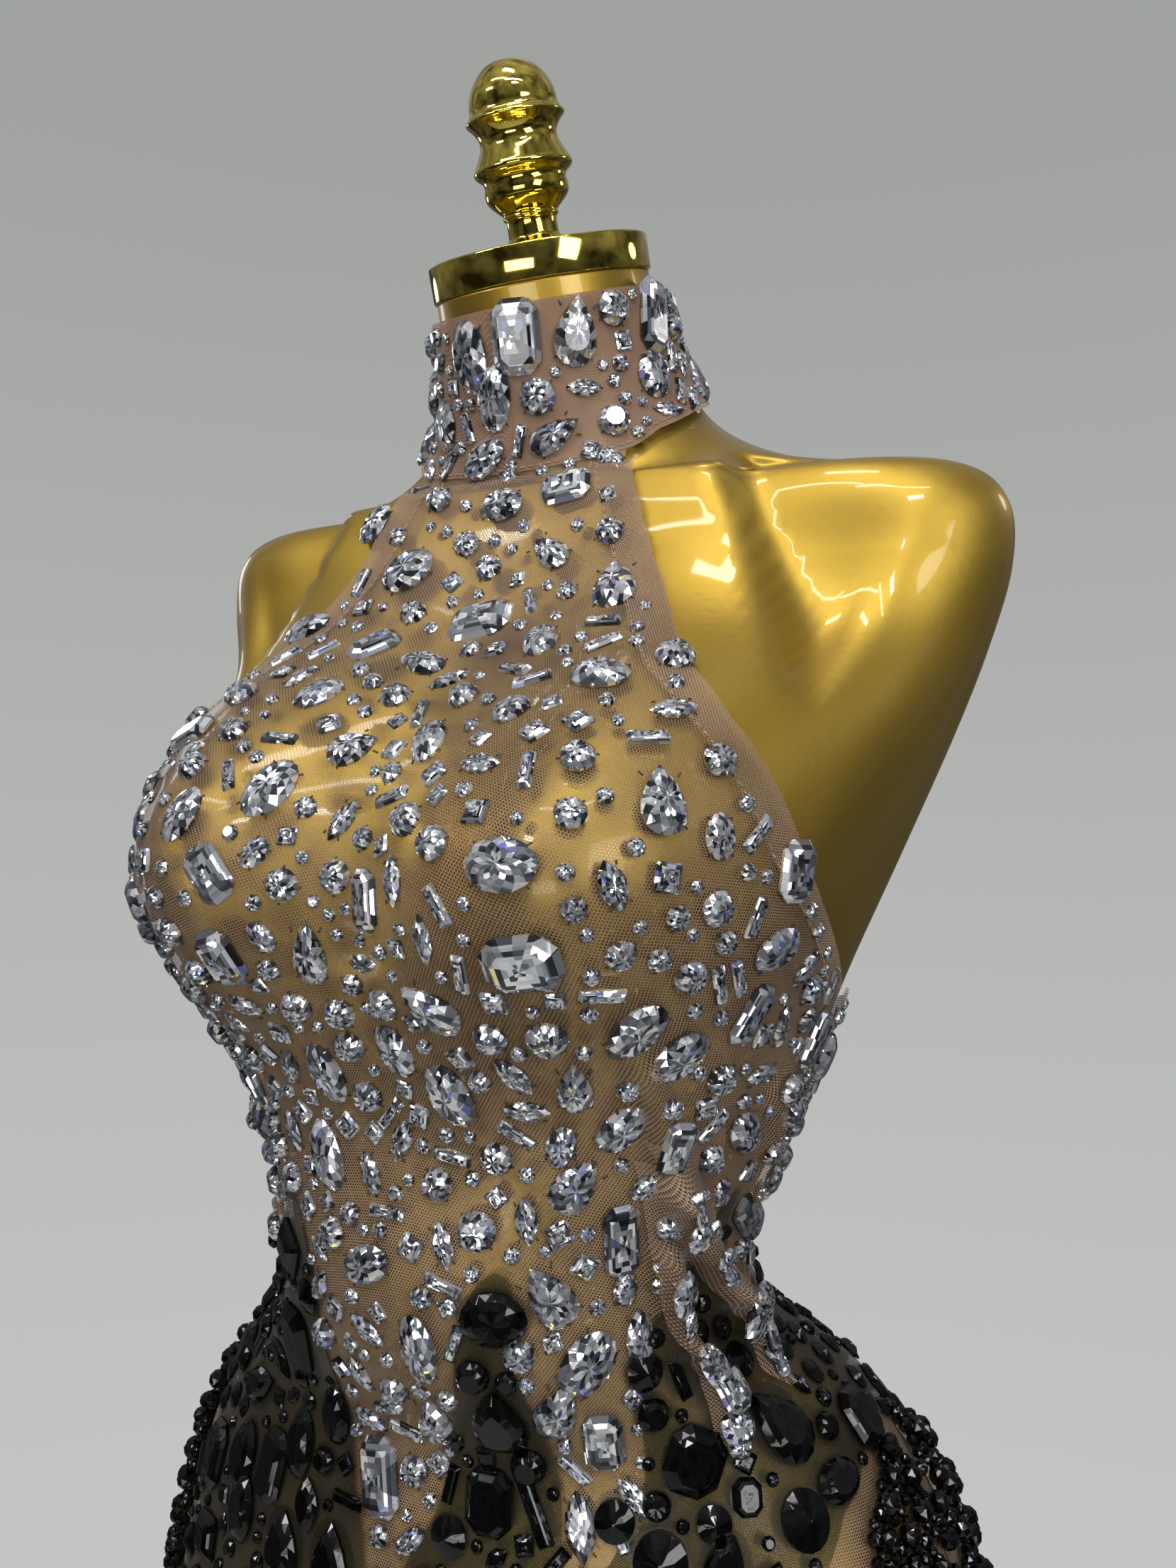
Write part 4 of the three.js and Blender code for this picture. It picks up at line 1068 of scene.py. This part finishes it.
def running_stitch(name, station, angle, off, length=2.6, pitch=4.0):
    path = off_skin(station, angle, np.full(len(station), off / 1000))
    far = np.concatenate([[0], np.cumsum(np.linalg.norm(np.diff(path, axis=0), axis=-1))]) * 1000
    first = np.arange(0, far[-1] - length, pitch)
    start, end = (np.stack([np.interp(first + more, far, path[:, c]) for c in range(3)], axis=-1)
                  for more in (0, length))
    normal = outward(np.interp(first, far, station), np.interp(first, far, angle))
    dashes(name, start, end, normal, 0.5, 0.3, thread)


turn = np.linspace(-179, 179, 500)
running_stitch("collar_seam", collar_foot(turn) + 0.1, turn, NET_OFF + 0.9)
for side, name in ((1, "armhole_stitch_left"), (-1, "armhole_stitch_right")):
    rows_up = np.linspace(11.02, FRONT_NECK, 400)
    angle = side * (edge_angle(rows_up) - degrees_at_edge(rows_up, TURNING * 0.92))
    running_stitch(name, rows_up + seam_lift(rows_up, angle), angle, NET_OFF + 0.6)
running_stitch("back_top_stitch", top_edge[::-1] - TURNING * 20, (180 - from_back)[::-1], NET_OFF + 0.6)

# ---- hip strings ----
# Strings of round faceted beads hang over each hip in nested swags. Every second string
# has larger beads between small ones.
SWAG_FRONT = np.array([[6.95, 88], [6.5, 69], [5.6, 59], [4.7, 59]])
SWAG_BACK = np.array([[6.95, 100], [6.5, 114], [5.6, 123], [4.7, 125]])
STRINGS = 24


def ball_mesh(rings=5, sides=8):
    points = [(0, 0, 1)]
    for i in range(1, rings):
        for j in range(sides):
            down, round_it = math.pi * i / rings, 2 * math.pi * (j + 0.5 * (i % 2)) / sides
            points.append((math.sin(down) * math.cos(round_it), math.sin(down) * math.sin(round_it),
                           math.cos(down)))
    points.append((0, 0, -1))
    faces = [(0, 1 + j, 1 + (j + 1) % sides) for j in range(sides)]
    for i in range(rings - 2):
        for j in range(sides):
            a, b = 1 + i * sides + j, 1 + i * sides + (j + 1) % sides
            c, d = b + sides, a + sides
            faces += [(a, d, b), (b, d, c)] if i % 2 else [(a, c, b), (a, d, c)]
    last, start = len(points) - 1, 1 + (rings - 2) * sides
    faces += [(start + (j + 1) % sides, start + j, last) for j in range(sides)]
    return np.array(points), faces


ball_points, ball_faces = ball_mesh()
for side, name, node in ((1, "bead_strings_left", "swags_left"), (-1, "bead_strings_right", "swags_right")):
    shapes = []
    for n in range(STRINGS):
        t = (n + 0.3 + rng.uniform(-0.15, 0.15)) / STRINGS
        ends = [np.interp(t * 3, range(4), table[:, k]) for table in (SWAG_FRONT, SWAG_BACK)
                for k in (0, 1)]
        drop = 0.4 + 2.3 * t + rng.uniform(-0.1, 0.1)
        u = np.linspace(0, 1, 240)
        station = ends[0] + (ends[2] - ends[0]) * u - drop * np.sin(np.pi * u) ** 0.62
        angle = side * (ends[1] + (ends[3] - ends[1]) * u)
        path = off_skin(station, angle, np.full(len(u), (NET_OFF + 1.2) / 1000))
        length = np.concatenate([[0], np.cumsum(np.linalg.norm(np.diff(path, axis=0), axis=-1))]) * 1000
        sizes = np.roll(np.resize([8.8, 4.6, 4.6] if n % 2 else [4.6, 4.6, 4.6, 6.2], 200), rng.integers(4))
        at = np.cumsum(sizes + 0.15) - sizes / 2
        sizes, at = sizes[at < length[-1]], at[at < length[-1]]
        way = np.interp(at, length, u)
        here = np.stack([np.interp(way, u, path[:, c]) for c in range(3)], axis=-1)
        normal = outward(np.interp(way, u, station), np.interp(way, u, angle))
        here += normal * sizes[:, None] / 2000
        for k, size in enumerate(sizes):
            axis = Vector(rng.normal(size=3)).normalized()
            spin = np.array(Matrix.Rotation(rng.uniform(0, 2 * math.pi), 3, axis))
            bead = here[k] + ball_points @ spin * size / 2000
            shapes.append((bead, ball_faces, ball_points[:, :2], k, False))
    beads = many(name, shapes, jet_stone)
    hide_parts(node)

# ---- neck cap and finial ----
# A polished plate on the neck, and the turned knob that screws into it.
def turned(name, profile, sides, place, material, slot, node):
    points = []
    for r, h in profile:
        for j in range(sides):
            p = 2 * math.pi * j / sides
            points.append(place @ Vector((r * math.cos(p) / 1000, r * math.sin(p) / 1000, h / 1000)))
    faces = grid_faces(len(profile), sides, ring=True)
    last = (len(profile) - 1) * sides
    faces += [tuple(reversed(range(sides))), tuple(range(last, last + sides))]
    piece = mesh_piece(name, points, faces, material)
    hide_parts(node)


def rounded(profile, steps):
    rows = np.array(profile, float)
    out = []
    for k in range(len(rows) - 1):
        around = [rows[min(max(k + n, 0), len(rows) - 1)] for n in (-1, 0, 1, 2)]
        out += [curve(*around, t) for t in np.linspace(0, 1, steps, endpoint=False)]
    out.append(rows[-1])
    return [(max(r, 0.05), h) for r, h in out]


neck_height, shift, lean = SECTIONS[-1][0], SECTIONS[-1][5], math.radians(SECTIONS[-1][6])
neck_foot = Matrix.Translation((0, shift / 1000, WAIST + (neck_height + math.tan(lean) * shift) / 1000))
neck_place = neck_foot @ Matrix.Rotation(lean, 4, "X")
SEAT_GAP, CAP_THICKNESS = 0.0003, 0.015
CAP = [
    # radius, height
    (0.05, 0), (49.3, 0), (49.8, 0.2), (50, 0.7), (50, 14.3), (49.8, 14.8), (49.3, 15), (0.05, 15),
]
on_neck = neck_place @ Matrix.Translation((0, 0, SEAT_GAP))
on_cap = neck_place @ Matrix.Translation((0, 0, CAP_THICKNESS + 2 * SEAT_GAP))
turned("neck_plate", CAP, 96, on_neck, gold_plate, "gold_plate", "neck_cap")
KNOB = [
    # radius, height
    (15.5, 0), (15.5, 2.4), (14.2, 4), (11.9, 6), (11.4, 9), (11.4, 13.4), (12.6, 15), (12.4, 16.6),
    (14.8, 18.8), (18.2, 22.4),
    (18.9, 25.6), (18.5, 28.8), (19, 31), (21.2, 32.8), (22.2, 34.7), (21.2, 36.8), (19, 41), (17.7, 44),
    (17.3, 46.2), (17.6, 48.4),
    (19, 51), (20.8, 53), (21.9, 54.2), (21.7, 55.2), (20.4, 56.6), (19.7, 58.6), (19.5, 61), (18.6, 65),
    (16.6, 69), (13, 73.4),
    (8, 76.7), (0.05, 78),
]
turned("knob", [(0.05, 0)] + rounded(KNOB, 5), 96, on_cap, gold_plate, "gold_plate", "finial")

# ---- stand ----
# A round foot with a hub, and a pole up to the flange under the form, both in gold plate.
FOOT = [
    # radius, height
    (0.05, 0), (165, 0), (165, 8.5), (164.2, 10.4), (162, 11.7), (160, 12), (31, 12), (28.8, 13), (28, 15),
    (28, 23.2), (27.2, 24), (0.05, 24),
]
turned("foot", FOOT, 128, Matrix.Identity(4), gold_plate, "gold_plate", "stand_base")
length = WAIST * 1000 + SECTIONS[0, 0] - 24 - 0.6
POLE = [(0.05, 0), (13, 0), (13, length - 18), (45, length - 6), (45, length), (0.05, length)]
turned("pole", POLE, 64, Matrix.Translation((0, 0, 0.0243)), gold_plate, "gold_plate", "stand_pole")

# ---- floor and light ----
# A plain pale floor and wall tone, a few small bright lamps above and in front, and
# softer ones to fill. The room is darker at eye level than overhead.
floor = bpy.data.objects.new("floor", bpy.data.meshes.new("floor"))
rim = np.linspace(0, 2 * math.pi, 128, endpoint=False)
floor.data.from_pydata([(1.35 * math.cos(t), 1.35 * math.sin(t), -0.001) for t in rim], [],
                       [tuple(range(128))])
floor.data.materials.append(plain("pale_floor", 2, "#a9aaa8", "#b4b5b3", Roughness=0.7))
bpy.context.collection.objects.link(floor)

world = bpy.data.worlds.new("studio")
world.use_nodes = True
bpy.context.scene.world = world
way = add(world, "TexCoord", {})
level = add(world, "SeparateXYZ", {0: way.outputs["Generated"]})
share = add(world, "MapRange", {"Value": level.outputs["Z"], "From Min": -1.0, "From Max": 1.0})
room = add(world, "ValToRGB", {"Fac": share.outputs["Result"]})
room.color_ramp.elements[0].color = linear("#3a3937")
room.color_ramp.elements[1].color = linear("#98999c")
room.color_ramp.elements.new(0.5).color = linear("#48494c")
things = add(world, "TexNoise", {"Vector": way.outputs["Generated"], "Scale": 2.4, "Detail": 2})
contrast = add(world, "MapRange", {"Value": things.outputs["Fac"], "From Min": 0.35, "From Max": 0.65,
                                             "To Min": 0.25, "To Max": 1.9})
cluttered = vector(world, "MULTIPLY", room.outputs["Color"], contrast.outputs["Result"])
wall = add(world, "MapRange", {"Value": level.outputs["Z"], "From Min": -0.45, "From Max": 0.5})
tint = add(world, "Mix", {0: wall.outputs["Result"], 6: linear("#c3c5c4"), 7: linear("#a1a3a0")},
           data_type="RGBA")
seen = add(world, "LightPath", {})
mix = add(world, "Mix", {0: seen.outputs["Is Camera Ray"], 6: cluttered, 7: tint.outputs[2]},
          data_type="RGBA")
world.node_tree.links.new(mix.outputs[2], world.node_tree.nodes["Background"].inputs["Color"])

LAMPS = [
    # x, y, z, width, height, watts, colour; one as wide as tall is round
    (-0.9, -1.6, 2.3, 0.55, 0.12, 13, "#fffdf8"),
    (0.9, -1.4, 2.5, 0.45, 0.1, 8, "#ffffff"),
    (0.1, -0.7, 2.9, 0.5, 0.14, 7, "#fffaf2"),
    (1.7, -1.1, 1.5, 0.7, 0.9, 17, "#ffffff"),
    (0.55, -1.0, 2.5, 0.9, 0.05, 4, "#ffffff"),
    (-0.2, -1.1, 2.6, 0.9, 0.05, 4, "#ffffff"),
    (1.3, 1.3, 2.2, 0.4, 0.4, 2.5, "#ffffff"),
    (-1.7, 0.7, 1.9, 0.4, 0.4, 1.5, "#f4f7ff"),
    (0.3, -2.2, 0.7, 1.2, 0.5, 14, "#ffffff"),
]
for k, (x, y, z, wide, tall, watts, colour) in enumerate(LAMPS):
    lamp = bpy.data.objects.new(f"lamp_{k}", bpy.data.lights.new(f"lamp_{k}", "AREA"))
    lamp.data.shape = "DISK" if wide == tall else "RECTANGLE"
    lamp.data.size = wide
    if wide != tall:
        lamp.data.size_y = tall
    lamp.data.energy = watts
    lamp.data.color = linear(colour)[:3]
    lamp.location = (x, y, z)
    lamp.rotation_euler = (Vector((0, -0.05, 1.25)) - lamp.location).to_track_quat("-Z", "Y").to_euler()
    bpy.context.collection.objects.link(lamp)
bpy.context.scene.view_settings.view_transform = "Standard"
